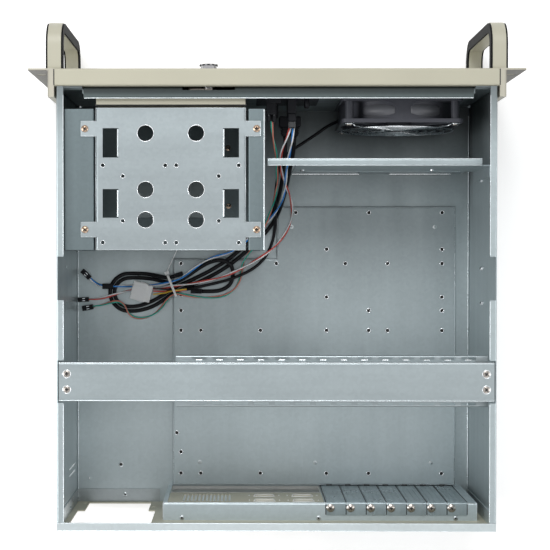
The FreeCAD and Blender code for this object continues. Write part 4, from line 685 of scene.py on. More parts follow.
def header_plug(name, line, sizes, pins, contact):
    """Housing with a bevelled shell, pin windows on top and a contact in each."""
    mesh, part = bmesh.new(), bmesh.new()
    length, width, height = (size * MM for size in sizes)
    half_w, half_h = width / 2, height / 2
    pitch, rib, under = width / pins, 0.35 * MM, half_h - 0.6 * MM
    box(part, (0.2 * MM, -half_w, -half_h), (length, half_w, half_h - rib), 0, 0.25 * MM)
    for k in range(pins + 1):
        y = -half_w + k * pitch
        low, high = max(-half_w, y - rib), min(half_w, y + rib)
        box(part, (0.6 * MM, low, under), (length - 0.5 * MM, high, half_h), 0, 0.1 * MM, 1)
    for x0, x1 in ((0.2 * MM, 0.32 * length), (0.62 * length, length - 0.1 * MM)):
        box(part, (x0, -half_w, under), (x1, half_w, half_h), 0, 0.12 * MM, 1)
    for k in range(pins):
        y = -half_w + (k + 0.5) * pitch
        box(part, (0.34 * length, y - 0.45 * MM, half_h - 0.5 * MM),
            (0.60 * length, y + 0.45 * MM, half_h - 0.15 * MM), 1, 0.1 * MM, 1)
    join(mesh, part, None, facing(line))
    piece(name, mesh, [black_moulded, contact], "header_plugs")


PLUGS = {   # the cord, then length, width and height in millimetres, and the contacts' finish
    "plug_outer": ("cable_outer", (12, 5.2, 5.0), black_trim),
    "plug_inner": ("cable_inner", (9, 4.8, 3.8), black_trim),
    "plug_light_upper": ("light_upper", (12, 5.2, 5.0), bright_metal_and_highlight),
    "plug_light_lower": ("light_lower", (12, 4.8, 4.4), bright_metal_and_highlight),
    "plug_switch": ("switch_pair", (12, 5.6, 4.6), bright_metal_and_highlight),
}
for name, (cord, sizes, contact) in PLUGS.items():
    header_plug(name, lines[cord], sizes, 2, contact)
print("header plugs:", len(PLUGS))

# %% Shrink sleeve on the upper light pair, hollow so that the pair runs through it
mesh, wall = bmesh.new(), 1.0 * MM
low, high = at(172.5, 211.4, 5.9), at(184.5, 217.2, 10.7)
for y0, y1, z0, z1 in ((low.y, low.y + wall, low.z, high.z),
                       (high.y - wall, high.y, low.z, high.z),
                       (low.y, high.y, low.z, low.z + wall),
                       (low.y, high.y, high.z - wall, high.z)):
    box(mesh, (low.x, y0, z0), (high.x, y1, z1), 0, 0.3 * MM)
piece("shrink_sleeve", mesh, [black_moulded], "header_plugs")

# %% [markdown]
# ### The fan's four-way plug
# A white nylon housing: a shell with four round pin sockets at its far end, a stepped collar
# and two side latches. The wires go into its near end.

# %% Four-way plug
PLUG_MIDDLE, PLUG_TURN = at(141.8, 220.5, 9.9), math.radians(-15)
PIN_PITCH, PIN_R = 4.3 * MM, 1.25 * MM
mesh, part = bmesh.new(), bmesh.new()
half_l, half_w, half_h = 11.0 * MM, 10.0 * MM, 4.7 * MM
box(part, (-half_l, -half_w, -half_h), (half_l - 6 * MM, half_w, half_h), 0, 0.7 * MM, 3)
box(part, (half_l - 6.6 * MM, -half_w + 0.8 * MM, -half_h + 0.5 * MM),
    (half_l - 0.6 * MM, half_w - 0.8 * MM, half_h - 0.5 * MM), 0, 0.5 * MM)
for side in (-1, 1):
    box(part, (-3.5 * MM, side * half_w - 0.5 * MM, -2.2 * MM),
        (3.0 * MM, side * half_w + 0.9 * MM, 2.2 * MM), 0, 0.4 * MM)
sideways = Matrix.Rotation(math.pi / 2, 4, "Y")
for k in range(4):
    y = (k - 1.5) * PIN_PITCH
    box(part, (-half_l + 2 * MM, y - 1.5 * MM, half_h - 0.3 * MM),
        (half_l - 8 * MM, y + 1.5 * MM, half_h + 0.15 * MM), 0, 0.25 * MM, 1)
    # Each pin socket is a thin black disc: the shade in its hole, painted on
    hole = bmesh.new()
    bmesh.ops.create_cone(hole, cap_ends=True, segments=14, radius1=PIN_R, radius2=PIN_R,
                          depth=0.5 * MM)
    join(part, hole, 1, Matrix.Translation((-half_l - 0.05 * MM, y, 0)) @ sideways)
join(mesh, part, None,
     Matrix.Translation(PLUG_MIDDLE) @ Matrix.Rotation(PLUG_TURN + math.pi, 4, "Z"))
piece("fan_plug", mesh, [white_moulded_and_highlight, black_trim], "power_connector")

# %% Collar where the fan's wires part
mesh = bmesh.new()
sweep(mesh, lines["fan_sleeve"][-6:], FAN_R + 0.25 * MM, 16)
piece("fan_collar", mesh, [black_trim])

print("cords:", len(CORDS))

# %% [markdown]
# ## Screws, rivets and hole rims
# The case is held together by pan-head screws with a cross recess, and by rivets and clinched
# studs. There are many of each and only a few sizes, so each kind is one Geometry Nodes tree
# with its sizes as inputs, and the points of a small mesh say where to put it. The tree
# realizes its instances, and the result is kept as a plain mesh.


# %% Helpers to build a geometry tree
def label_of(key):
    return key.replace("_", " ").capitalize()


def measure(size):
    """A whole number is a count; any other size is in millimetres."""
    return size if isinstance(size, int) else size * MM


def new_tree(name, finishes=("Finish",), on_seats=True, **sizes):
    """A geometry tree with named sizes and finishes, and a turn if it goes on seats."""
    tree = bpy.data.node_groups.new(name, "GeometryNodeTree")

    def socket(label, kind, way="INPUT"):
        return tree.interface.new_socket(label, in_out=way, socket_type="NodeSocket" + kind)

    socket("Seats", "Geometry")
    for key, size in sizes.items():
        kind = "Int" if isinstance(size, int) else "Float"
        socket(label_of(key), kind).default_value = measure(size)
    if on_seats:
        socket("Turn", "Rotation")
    for label in finishes:
        socket(label, "Material")
    socket("Mesh", "Geometry", "OUTPUT")
    given = tree.nodes.new("NodeGroupInput").outputs
    return tree, given, tree.nodes.new("NodeGroupOutput")


def vector(tree, x=0.0, y=0.0, z=0.0):
    return node(tree, "ShaderNodeCombineXYZ", {"X": x, "Y": y, "Z": z}).outputs[0]


def lifted(tree, shape, height):
    return node(tree, "GeometryNodeTransform",
                {"Geometry": shape, "Translation": vector(tree, z=height)}).outputs[0]


def circle(tree, radius, corners):
    return node(tree, "GeometryNodeCurvePrimitiveCircle",
                {"Resolution": corners, "Radius": radius}).outputs["Curve"]


def swept(tree, curve, section, caps=False):
    return node(tree, "GeometryNodeCurveToMesh", {
        "Curve": curve, "Profile Curve": section, "Fill Caps": caps}).outputs["Mesh"]


def realized(tree, shape):
    return node(tree, "GeometryNodeRealizeInstances", {0: shape}).outputs[0]


def worn(tree, shape, finish_input, **selection):
    return node(tree, "GeometryNodeSetMaterial", {
        "Geometry": shape, "Material": finish_input, **selection}).outputs[0]


# %% A dome: a filled disc with a thickness, rounded over towards its edge
DOME_FALL = 0.62   # the part of the height that is lost at the edge


def dome(tree, radius, height, sides=20):
    """A closed cylinder whose top falls away as the square of the distance from its axis."""
    drum = node(tree, "GeometryNodeMeshCylinder",
                {"Vertices": sides, "Side Segments": 1, "Fill Segments": 5, "Radius": radius,
                 "Depth": height}, fill_type="TRIANGLE_FAN")
    place = node(tree, "GeometryNodeInputPosition")
    parts = node(tree, "ShaderNodeSeparateXYZ", {0: place.outputs[0]}).outputs
    reach = formula(tree, "ADD", formula(tree, "POWER", parts["X"], 2.0),
                    formula(tree, "POWER", parts["Y"], 2.0))
    share = formula(tree, "DIVIDE", reach, formula(tree, "POWER", radius, 2.0))
    top = formula(tree, "GREATER_THAN", parts["Z"], 0.0)
    fall = formula(tree, "MULTIPLY", formula(tree, "MULTIPLY", share, -DOME_FALL),
                   formula(tree, "MULTIPLY", height, top))
    moved = node(tree, "GeometryNodeSetPosition",
                 {"Geometry": drum.outputs["Mesh"], "Offset": vector(tree, z=fall)})
    return lifted(tree, moved.outputs[0], formula(tree, "MULTIPLY", height, 0.5))


# %% Cut hollows, and seat the finished shape
def hollowed(tree, shape, cutters):
    """Cut the shape, with the cutters' faces marked so that the hollow can be found again."""
    cut = node(tree, "GeometryNodeMeshBoolean", {"Mesh 1": shape}, operation="DIFFERENCE",
               solver="EXACT")
    for cutter in cutters:
        marked = node(tree, "GeometryNodeStoreNamedAttribute",
                      {"Name": "hollow", "Value": True, "Geometry": cutter},
                      data_type="BOOLEAN", domain="FACE")
        tree.links.new(marked.outputs["Geometry"], cut.inputs["Mesh 2"])
    return cut.outputs["Mesh"]


def place_on_seats(tree, given, out, shape, spin=True, hollow=False):
    """Instance a shape on the seats, turn it, realize it and give it its finish."""
    turn = given["Turn"]
    if spin:
        chance = node(tree, "FunctionNodeRandomValue", {"Seed": 7, 3: 1.57}, data_type="FLOAT")
        turn = node(tree, "FunctionNodeRotateRotation",
                    {"Rotation": turn, "Rotate By": vector(tree, z=chance.outputs[1])},
                    rotation_space="LOCAL").outputs[0]
    put = node(tree, "GeometryNodeInstanceOnPoints",
               {"Points": given["Seats"], "Instance": shape, "Rotation": turn})
    shape = worn(tree, realized(tree, put.outputs[0]), given["Finish"])
    if hollow:
        cut = node(tree, "GeometryNodeInputNamedAttribute", {"Name": "hollow"},
                   data_type="BOOLEAN").outputs[0]
        shape = worn(tree, shape, given["Hollow finish"], Selection=cut)
    tree.links.new(shape, out.inputs[0])


# %% Tree for a pan head with a cross recess
BOTH = ("Finish", "Hollow finish")
screw_tree, given, out = new_tree("pan_screw", BOTH, head_radius=3.4, head_height=1.9,
                                  recess_width=1.1, recess_length=3.9, recess_depth=1.3)
long, thin = given["Recess length"], given["Recess width"]
deep = formula(screw_tree, "MULTIPLY", given["Recess depth"], 2.0)
arms = []
for x, y in ((long, thin), (thin, long)):
    cube = node(screw_tree, "GeometryNodeMeshCube", {"Size": vector(screw_tree, x, y, deep)})
    arms.append(lifted(screw_tree, cube.outputs["Mesh"], given["Head height"]))
head = dome(screw_tree, given["Head radius"], given["Head height"])
place_on_seats(screw_tree, given, out, hollowed(screw_tree, head, arms), hollow=True)

# %% Tree for a rivet: a domed flange round a sunk centre
rivet_tree, given, out = new_tree("rivet", BOTH, flange_radius=2.6, flange_height=0.9,
                                  hollow_radius=1.0, hollow_depth=0.6)
drill = node(rivet_tree, "GeometryNodeMeshCylinder", {
    "Vertices": 10, "Radius": given["Hollow radius"],
    "Depth": formula(rivet_tree, "MULTIPLY", given["Hollow depth"], 2.0)})
sunk = lifted(rivet_tree, drill.outputs["Mesh"], given["Flange height"])
flange = dome(rivet_tree, given["Flange radius"], given["Flange height"], 16)
place_on_seats(rivet_tree, given, out, hollowed(rivet_tree, flange, [sunk]), spin=False,
               hollow=True)

# %% Tree for a rim: a lip round a punched hole, bright as a painted highlight
rim_tree, given, out = new_tree("rim", hole_radius=1.7, lip=0.28)
path = circle(rim_tree, formula(rim_tree, "ADD", given["Hole radius"], given["Lip"]), 24)
lip = swept(rim_tree, path, circle(rim_tree, given["Lip"], 6))
place_on_seats(rim_tree, given, out, lip, spin=False)


# %% Run a tree on a small mesh and keep what grows
TURNS = {"up": (0.0, 0.0, 0.0), "rear": (-math.pi / 2, 0.0, 0.0),
         "to_right": (0.0, math.pi / 2, 0.0), "to_left": (0.0, -math.pi / 2, 0.0)}


def grown(name, tree, places, edges=(), sizes=None, **others):
    """The plain mesh that a tree makes; the others are its turn and its finishes."""
    base = bpy.data.meshes.new(name + "_seats")
    base.from_pydata([tuple(place) for place in places], list(edges), [])
    carrier = bpy.data.objects.new(name + "_seats", base)
    bpy.context.scene.collection.objects.link(carrier)
    values = {label_of(key): measure(size) for key, size in (sizes or {}).items()}
    values.update({label_of(key): other for key, other in others.items()})
    modifier = carrier.modifiers.new("hardware", "NODES")
    modifier.node_group = tree
    for item in tree.interface.items_tree:
        if item.in_out == "INPUT" and item.name in values:
            modifier[item.identifier] = values[item.name]
    view = bpy.context.evaluated_depsgraph_get()
    data = bpy.data.meshes.new_from_object(carrier.evaluated_get(view))
    data.name = name
    bpy.data.objects.remove(carrier)
    bpy.data.meshes.remove(base)
    assert data.polygons, name + " came out empty"
    print(name, len(data.polygons), "faces")
    return data


def seated(name, tree, seats, way, material, slot="nickel", stands_for=None, **sizes):
    """One piece from a tree: seats are places in the frame, way is where its top looks."""
    data = grown(name, tree, seats, sizes=sizes, turn=TURNS[way], finish=material,
                 hollow_finish=recess_shade)
    keep(name, data, stands_for=stands_for)


def loose_parts(name):
    """Lowest and highest corner of each separate solid in a CAD node."""
    mesh = bmesh.new()
    mesh.from_mesh(nodes[name].data)
    bmesh.ops.remove_doubles(mesh, verts=mesh.verts, dist=1e-6)
    seen, found = set(), []
    for start in mesh.verts:
        if start in seen:
            continue
        seen.add(start)
        waiting, part = [start], []
        while waiting:
            corner = waiting.pop()
            part.append(corner.co.copy())
            for other in (edge.other_vert(corner) for edge in corner.link_edges):
                if other not in seen:
                    seen.add(other)
                    waiting.append(other)
        found.append(extent(part))
    mesh.free()
    return found


def extent(points):
    """Lowest and highest corner round some points."""
    return [Vector([pick(p[i] for p in points) for i in range(3)]) for pick in (min, max)]


def tops(name, sink):
    """The middle of each loose part's top, a little below it."""
    return [Vector(((low.x + high.x) / 2, (low.y + high.y) / 2, high.z - sink * MM))
            for low, high in loose_parts(name)]


# %% Screws, each seated under the head that the CAD model gives it
seated("heads_bracket_screws", screw_tree, tops("bracket_screws", 2.0), "up", nickel_warm,
       stands_for="bracket_screws", head_radius=3.5, head_height=1.9)
seated("heads_slot_screws", screw_tree, tops("slot_screws", 2.2), "up", nickel,
       stands_for="slot_screws", head_radius=4.1, head_height=2.2, recess_width=0.85,
       recess_length=3.6)
seated("heads_bar_screws", screw_tree, tops("bar_screws", 0.7), "up", nickel,
       stands_for="bar_screws", head_radius=3.4, head_height=1.0, recess_depth=0.7)
backs = [Vector(((low.x + high.x) / 2, high.y - 2.0 * MM, (low.z + high.z) / 2))
         for low, high in loose_parts("fan_screws")]
seated("heads_fan_screws", screw_tree, backs, "rear", nickel, stands_for="fan_screws")

# %% [markdown]
# One small hole of the chassis floor has nothing behind it, and the white paper under the case
# would show through. A blind stud closes it, in the looks only.

# %% Rivets and clinched studs
TRAY_TOP, SHEET = 8.0, 1.2
TRAY_STUDS = [(-20, 150), (-174.5, 150), (79.1, 404.5), (-46, 405.2), (-171, 405.2)]
OPEN_STUD, BLIND_STUD = at(165.1, 408.3, SHEET), at(199.4, 423.3, SHEET - 0.2)
FAINT = dict(flange_height=0.4, hollow_radius=0.7, hollow_depth=0.4)
RIVET = dict(flange_radius=2.4, flange_height=2.4, hollow_radius=1.0)
seated("tray_studs", rivet_tree, [at(x, y, TRAY_TOP) for x, y in TRAY_STUDS], "up", stud_steel,
       flange_radius=2.2, **FAINT)
seated("blind_stud", rivet_tree, [BLIND_STUD], "up", zinc_shell, "zinc_steel",
       flange_radius=2.6, **FAINT)
seated("floor_studs", rivet_tree, [OPEN_STUD], "up", stud_steel, flange_radius=3.0,
       flange_height=0.7, hollow_radius=1.7, hollow_depth=0.6)
seated("strip_rivets", rivet_tree, [at(160.4, 440.9, 2.4)], "up", stud_steel,
       flange_radius=2.4, hollow_radius=1.1)
seated("recess_rivets", rivet_tree, [at(x, 446.2, 121.0) for x in (94, -44, -182)], "up",
       stud_steel, flange_radius=2.4, flange_height=0.8)
seated("divider_rivets", rivet_tree, [at(x, 92.5, 77.0) for x in (-29.0, -163.0)], "rear",
       bright_metal_and_highlight, **RIVET)
seated("front_rivets", rivet_tree, [at(-204.0, 24.5, 57.5), at(203.0, 24.5, 60.0)], "rear",
       bright_metal_and_highlight, **RIVET)
seated("wall_rivets_left", rivet_tree, [at(212.8, 444.0, 7.5), at(212.8, 443.6, 77.0)],
       "to_left", stud_steel, **RIVET)
seated("wall_rivets_right", rivet_tree,
       [at(-212.8, y, z) for y, z in ((104.1, 87.5), (194.7, 89.0), (230.1, 90.0))],
       "to_right", bright_metal_and_highlight, **RIVET)
seated("bay_floor_screws", screw_tree, [at(48.1, 127.3, SHEET), at(48.7, 64.4, SHEET)], "up",
       nickel_warm, head_radius=3.8, recess_width=0.9)

# %% Rims of the punched holes in the tray and the bracket, bright as painted highlights
BOARD_COLUMN, BOARD_REAR = 99.5, 416.8
FIRST, SECOND, THIRD = BOARD_COLUMN, BOARD_COLUMN - 157.48, BOARD_COLUMN - 157.48 - 124.46
ROWS = [BOARD_REAR - step for step in (0, 154.94, 176.5, 193.4, 227.3, 242.7, 282.2)]
HOLES = {FIRST: (*ROWS[:5], 393.7), SECOND: (ROWS[0], ROWS[1], 225.8, ROWS[5]),
         THIRD: (*ROWS[:3], 225.8, *ROWS[4:]), -103.5: (*ROWS[:3], ROWS[6]), 78.0: ROWS[:2],
         13.5: ROWS[:2], -24.5: (ROWS[6],), -78.1: (ROWS[4],), -3.7: (ROWS[4],),
         -123.8: (ROWS[4], ROWS[1]), 104.0: (372.9,)}
board = [(x, y) for x, ys in HOLES.items() for y in ys]
seated("board_rims", rim_tree, [at(x, y, TRAY_TOP) for x, y in board], "up", bright_metal_and_highlight,
       "zinc_steel", hole_radius=1.7, lip=0.4)
# Clinched nuts under the tray's holes, in the near-black of painted shade
seated("shaded_clinch_nuts", rivet_tree, [at(x, y, TRAY_TOP - 1.5) for x, y in board], "up",
       recess_shade, "black_plastic", flange_radius=1.68, flange_height=0.9, hollow_radius=0.8,
       hollow_depth=0.5)
BRACKET_TOP, BRACKET_MIDDLE = 169.2, 102.95
large = [(dx, y) for dx in (-24.7, 24.7) for y in (62.2, 117.1, 146.6)]
small = [(-66.4, 93.5), (66.4, 93.5), (-5.4, 93.5), (5.4, 93.5)]
small += [(side * 46.8, y) for side in (-1, 1) for y in (104.0, 147.7)]
small += [(side * dx, 168.8) for side in (-1, 1) for dx in (66.4, 5.4)]
for name, holes, radius, lip in (("bracket_large_rims", large, 7.75, 0.3),
                                 ("bracket_small_rims", small, 1.8, 0.25)):
    seated(name, rim_tree, [at(BRACKET_MIDDLE + x, y, BRACKET_TOP) for x, y in holes], "up",
           bright_metal_and_highlight, "zinc_steel", hole_radius=radius, lip=lip)

# %% [markdown]
# ## Painted highlights on sheared edges and folds
# Where the sheet was cut or folded, its edge would catch the light as a fine bright line, and a
# bright bead paints that highlight on. It follows the outline of each plate, so one tree sweeps
# a thin rounded bead along any line it is given. Its only size is the bead's radius. The dark
# seams, the painted shadow over the bays and the painted shade at the feet of the slots are
# beads too, in a dark finish.

# %% Tree for a bead along a line
bead_tree, given, out = new_tree("bead", on_seats=False, bead_radius=0.3)
line = node(bead_tree, "GeometryNodeMeshToCurve", {"Mesh": given["Seats"]}).outputs[0]
bead = swept(bead_tree, line, circle(bead_tree, given["Bead radius"], 6), caps=True)
bead_tree.links.new(worn(bead_tree, realized(bead_tree, bead), given["Finish"]), out.inputs[0])


# %% Beads along a list of lines
def beads(name, runs, radius=0.3, material=edge_highlight):
    """One piece of beads, bright as a painted highlight unless given another finish; each run is
    a list of places, closed if it repeats one.
    """
    places, edges = [], []
    for run in runs:
        first, closed = len(places), run[0] == run[-1]
        places += [at(*p) for p in (run[:-1] if closed else run)]
        last = len(places) - 1
        edges += [(i, i + 1) for i in range(first, last)]
        if closed:
            edges.append((last, first))
    keep(name, grown(name, bead_tree, places, edges, {"bead_radius": radius}, finish=material))


def loop(points, z):
    return [(x, y, z) for x, y in points] + [(*points[0], z)]


def across(x0, x1, y, z):
    return [(x0, y, z), (x1, y, z)]


def along(x, y0, y1, z):
    return [(x, y0, z), (x, y1, z)]


def drawn_box(name):
    """Lowest and highest corner of a CAD node in the drawing's millimetres."""
    return [(x / MM, y / MM + MIDDLE_Y, z / MM) for x, y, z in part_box(name)]


# %% Drive bracket: its outline with the four tabs, and the folds of the hanging tabs
LEFT, RIGHT, FRONT, REAR, TAB, REACH, GRIP = 175.9, 30.0, 37.7, 176.0, 7.3, 14.6, 50.8 + 0.2
TAB_Y = (57.8, 156.1)
outline = [(RIGHT, FRONT), (LEFT, FRONT)]
for y in TAB_Y:
    outline += [(LEFT, y - TAB), (LEFT + REACH, y - TAB), (LEFT + REACH, y + TAB),
                (LEFT, y + TAB)]
outline += [(LEFT, REAR), (RIGHT, REAR)]
for y in TAB_Y[::-1]:
    outline += [(RIGHT, y + TAB), (RIGHT - REACH, y + TAB), (RIGHT - REACH, y - TAB),
                (RIGHT, y - TAB)]
folds = [along(BRACKET_MIDDLE + side * (GRIP + 0.6), y0 + 1, y1 - 1, BRACKET_TOP)
         for side in (-1, 1) for y0, y1 in ((57.3, 85.9), (116.6, 144.6))]
beads("bracket_edges", [loop(outline, BRACKET_TOP)], 0.35)
beads("bracket_folds", folds, 0.9)

# %% Board tray, crossbar, divider, rear recess and front rail
TRAY = [(-196.2, 128.8), (-4.8, 128.8), (-4.8, 185.3), (107.5, 185.3), (107.5, 428.7),
        (-196.2, 428.7)]
beads("tray_edges", [loop(TRAY, 7.8)], 0.35)
beads("crossbar_edges", [across(-211.5, 211.5, y, 175.8) for y in (285.9, 322.6)], 0.5)
beads("divider_edges", [across(-203.2, 8.1, y, 149.8) for y in (85.8, 92.2)], 0.4)
# Bright lines along the divider's foot: painted highlights
beads("divider_slots", [across(-92.7, -20.3, 93.0, 5.6), across(-191.5, -125.3, 93.0, 5.6)],
      0.6, bright_metal_and_highlight)
beads("recess_edges", [across(-203.5, 113.1, 431.0, 120.8), along(113.0, 431.0, 447.0, 120.8),
                       along(-203.4, 431.0, 447.0, 120.8)], 0.4)
low, high = drawn_box("front_rail")
beads("rail_edge", [across(low[0] + 0.5, high[0] - 0.5, high[1] - 0.3, 169.8)], 0.5)

# %% Dark seams, painted shadow and shade, and painted highlights on the cage and the rail's hooks
SLOT_PITCH, FIRST_SEAM, FIRST_HOOK = 20.32, -51.3, 6.75
seams = [FIRST_SEAM - k * SLOT_PITCH for k in range(8)]
hooks = [-61.5 + (FIRST_HOOK - k) * SLOT_PITCH for k in range(14)]
beads("ear_seams", [along(side * 216.0, 0.8, 16.4, 177.0) for side in (-1, 1)], 0.5,
      recess_shade)
beads("slot_seams", [[(x, 430.0, 8.0), (x, 430.0, 119.5)] for x in seams]
      + [along(x, 432.0, 442.6, 121.4) for x in seams], 0.5, recess_shade)
low, high = drawn_box("bay_cover_top")
beads("bay_shadow", [across(low[0] + 0.5, high[0] - 0.5, high[1] - 0.2, high[2] - 0.6)], 0.9,
      recess_shade)
beads("cage_edge", [along(11.9, 38.8, 175.8, 168.0)], 0.8)
beads("hook_edges", [across(x - 3.0, x + 3.0, 284.0, 160.0) for x in hooks], 0.7, bright_metal_and_highlight)
beads("slot_feet", [across(x - 12.5, x - 6.5, 429.4, 8.6) for x in seams[:-1]], 0.9,
      recess_shade)

# %% Painted highlights round the socket cut-outs of the painted plate, with a tick at either side
PLATE_Y = 431.9
sockets = []
for z in (66.0, 98.0):
    for x in (10.3, -29.5):
        shape = [(-9.4, -6.6), (9.4, -6.6), (10.9, 6.6), (-10.9, 6.6), (-9.4, -6.6)]
        sockets.append([(x + dx, PLATE_Y, z + dz) for dx, dz in shape])
        sockets += [[(x + s * 15.5, PLATE_Y, z - 2), (x + s * 15.5, PLATE_Y, z + 2)]
                    for s in (-1, 1)]
beads("socket_outlines", sockets, 0.55, white_moulded_and_highlight)

# %% Side flanges, the floor's folds and the rear flange
beads("flange_edges", [along(side * 207.2, y0, y1, 175.8) for side in (-1, 1)
                       for y0, y1 in ((26, 181), (226, 282), (326, 441))], 0.4)
beads("floor_folds", [along(side * 211.4, 30, 440, 2.0) for side in (-1, 1)], 0.45)
beads("rear_edges", [across(-213, 213, y, 175.9) for y in (442.4, 449.6)], 0.4)

# %% Rims round the crossbar's screws, bright as painted highlights
seated("bar_rims", rim_tree, tops("bar_screws", 0.1), "up", bright_metal_and_highlight, "zinc_steel",
       hole_radius=3.7, lip=0.28)

# %% [markdown]
# ### Fan guard
# A wire guard is rings of round wire on four radial arms, each ending in an eye under a screw.
# Rings of a rising radius are one rule, so the rings come from a line of points in a tree: the
# index of each point sets its ring's size.

# %% Tree for the guard's rings
guard_tree, given, out = new_tree("guard_rings", on_seats=False, smallest=12.0, step=6.5,
                                  wire_radius=0.8, rings=8)
steps = node(guard_tree, "GeometryNodeMeshLine", {"Offset": (0.0, 0.0, 0.0),
                                                  "Count": given["Rings"]})
number = node(guard_tree, "GeometryNodeInputIndex")
size = formula(guard_tree, "ADD", given["Smallest"],
               formula(guard_tree, "MULTIPLY", number.outputs[0], given["Step"]))
put = node(guard_tree, "GeometryNodeInstanceOnPoints",
           {"Points": steps.outputs["Mesh"], "Instance": circle(guard_tree, 1.0, 56),
            "Scale": vector(guard_tree, size, size, 1.0)})
wires = swept(guard_tree, realized(guard_tree, put.outputs[0]),
              circle(guard_tree, given["Wire radius"], 8))
guard_tree.links.new(worn(guard_tree, realized(guard_tree, wires), given["Finish"]),
                     out.inputs[0])

# %% Grow the rings, turn them to the fan and add arms and eyes
WIRE, SCREW_SQUARE, EYE_R = 0.8 * MM, 105.0, 4.0 * MM
low, high = corners("fan_guard")
fan_x, fan_z = (low.x + high.x) / 2, (low.z + high.z) / 2
ring_y, eye_y, reach = high.y - WIRE, low.y + WIRE, SCREW_SQUARE / math.sqrt(2) * MM
mesh, part = bmesh.new(), bmesh.new()
part.from_mesh(grown("guard_rings", guard_tree, [],
                     sizes={"smallest": 12.5, "step": 8.9, "wire_radius": 0.8, "rings": 6},
                     finish=guard_wire))
join(mesh, part, 0,
     Matrix.Translation((fan_x, ring_y, fan_z)) @ Matrix.Rotation(math.pi / 2, 4, "X"))
for k in range(4):
    angle = math.pi / 4 + k * math.pi / 2
    way = Vector((math.cos(angle), 0, math.sin(angle)))
    hub = Vector((fan_x, ring_y - 1.4 * MM, fan_z))
    eye = Vector((fan_x, eye_y, fan_z)) + way * reach
    bend = hub + way * (reach - 9 * MM)
    sweep(mesh, [hub + way * 10 * MM, bend, eye - way * 5.4 * MM], WIRE, 8)
    turn = [2 * math.pi * i / 20 for i in range(21)]
    sweep(mesh, [eye + (way * math.cos(a) + Vector((-way.z, 0, way.x)) * math.sin(a)) * EYE_R
                 for a in turn], WIRE, 8)
for face in mesh.faces:
    face.smooth = True
piece("wire_guard", mesh, [guard_wire], "fan_guard")

# %% [markdown]
# ### Fan's drum
# Halfway along the frame's top the two end plates are tied by a moulded web with a narrow
# waist. To either side of it the round drum shows, with a paler skin that is painted light.

# %% Web with a waist, lying on the drum
PLATE, SKIN, DRUM_R = 3.6 * MM, 1.2 * MM, 60.2 * MM
low, high = corners("fan_frame")
middle, top = (low.x + high.x) / 2, high.z + 0.2 * MM
mesh, rows = bmesh.new(), []
for k in range(17):
    t = -1 + k / 8
    half = (5.6 + 12.5 * abs(t) ** 2.2) * MM
    y = (low.y + high.y) / 2 + t * ((high.y - low.y) / 2 - PLATE + 0.3 * MM)
    drop = DRUM_R - math.sqrt(DRUM_R ** 2 - half ** 2)
    rows.append([mesh.verts.new((middle + x, y, z)) for x, z in (
        (-half, top - 0.5 * drop), (0, top), (half, top - 0.5 * drop),
        (half, top - drop - SKIN), (0, top - SKIN), (-half, top - drop - SKIN))])
tube(mesh, rows, smooth=False)
piece("fan_web", mesh, [black_satin])

# %% Paler skins on the drum either side of the web, painted light; only their outer faces smooth
OUTER, INNER, STEPS = 60.45 * MM, 0.5 * MM, 18
START, STOP = math.radians(7.5), math.radians(39)
mesh, y_mid, half_y = bmesh.new(), low.y + 12.7 * MM, 5.6 * MM
axis = Vector((middle, y_mid, (low.z + high.z) / 2))
for side in (-1, 1):
    strips = []
    for k in range(STEPS + 1):
        t = k / STEPS
        angle = side * (START + (STOP - START) * t)
        wide = half_y * (1 - abs(2 * t - 1) ** 3.0 * 0.42)
        outward = Vector((math.sin(angle), 0, math.cos(angle)))
        strips.append([mesh.verts.new(axis + outward * r + Vector((0, y, 0)))
                       for r, y in ((OUTER, -wide), (OUTER, wide), (OUTER - INNER, wide),
                                    (OUTER - INNER, -wide))])
    for face in tube(mesh, strips, smooth=False)[::4]:
        face.smooth = True
piece("drum_lit_skins", mesh, [fan_lit_skin])

# %% [markdown]
# ## Behind the control strip
# The lamps are small light-emitting diodes: a green dome in front and a black holder behind,
# both turned. The USB plugs are moulded over their cable, with soft corners and a ribbed grip
# where a finger pulls, and are built from rounded boxes.


# %% Lamps
def turned(mesh, profile, axis, slot, sides=20):
    """Turn a profile of (y, radius) pairs round a line along y, closed at both ends."""
    tube(mesh, [[mesh.verts.new((axis.x + math.cos(a) * radius, y,
                                 axis.z + math.sin(a) * radius)) for a in round_angles(sides)]
                for y, radius in profile], slot)


mesh = bmesh.new()
for low, high in loose_parts("indicator_lights"):
    axis = (low + high) / 2
    wide, deep = (high.x - low.x) / 2, high.y - low.y
    shoulder = low.y + 0.28 * deep
    turned(mesh, [(low.y, 0.25 * wide), (low.y + 0.03 * deep, 0.62 * wide),
                  (low.y + 0.10 * deep, 0.90 * wide), (low.y + 0.20 * deep, wide),
                  (shoulder, wide)], axis, 0)
    turned(mesh, [(shoulder, 0.9 * wide), (shoulder, 0.99 * wide),
                  (high.y - 0.06 * deep, 0.99 * wide), (high.y, 0.8 * wide)], axis, 1)
piece("lamps", mesh, [lens_green, black_moulded], "indicator_lights")

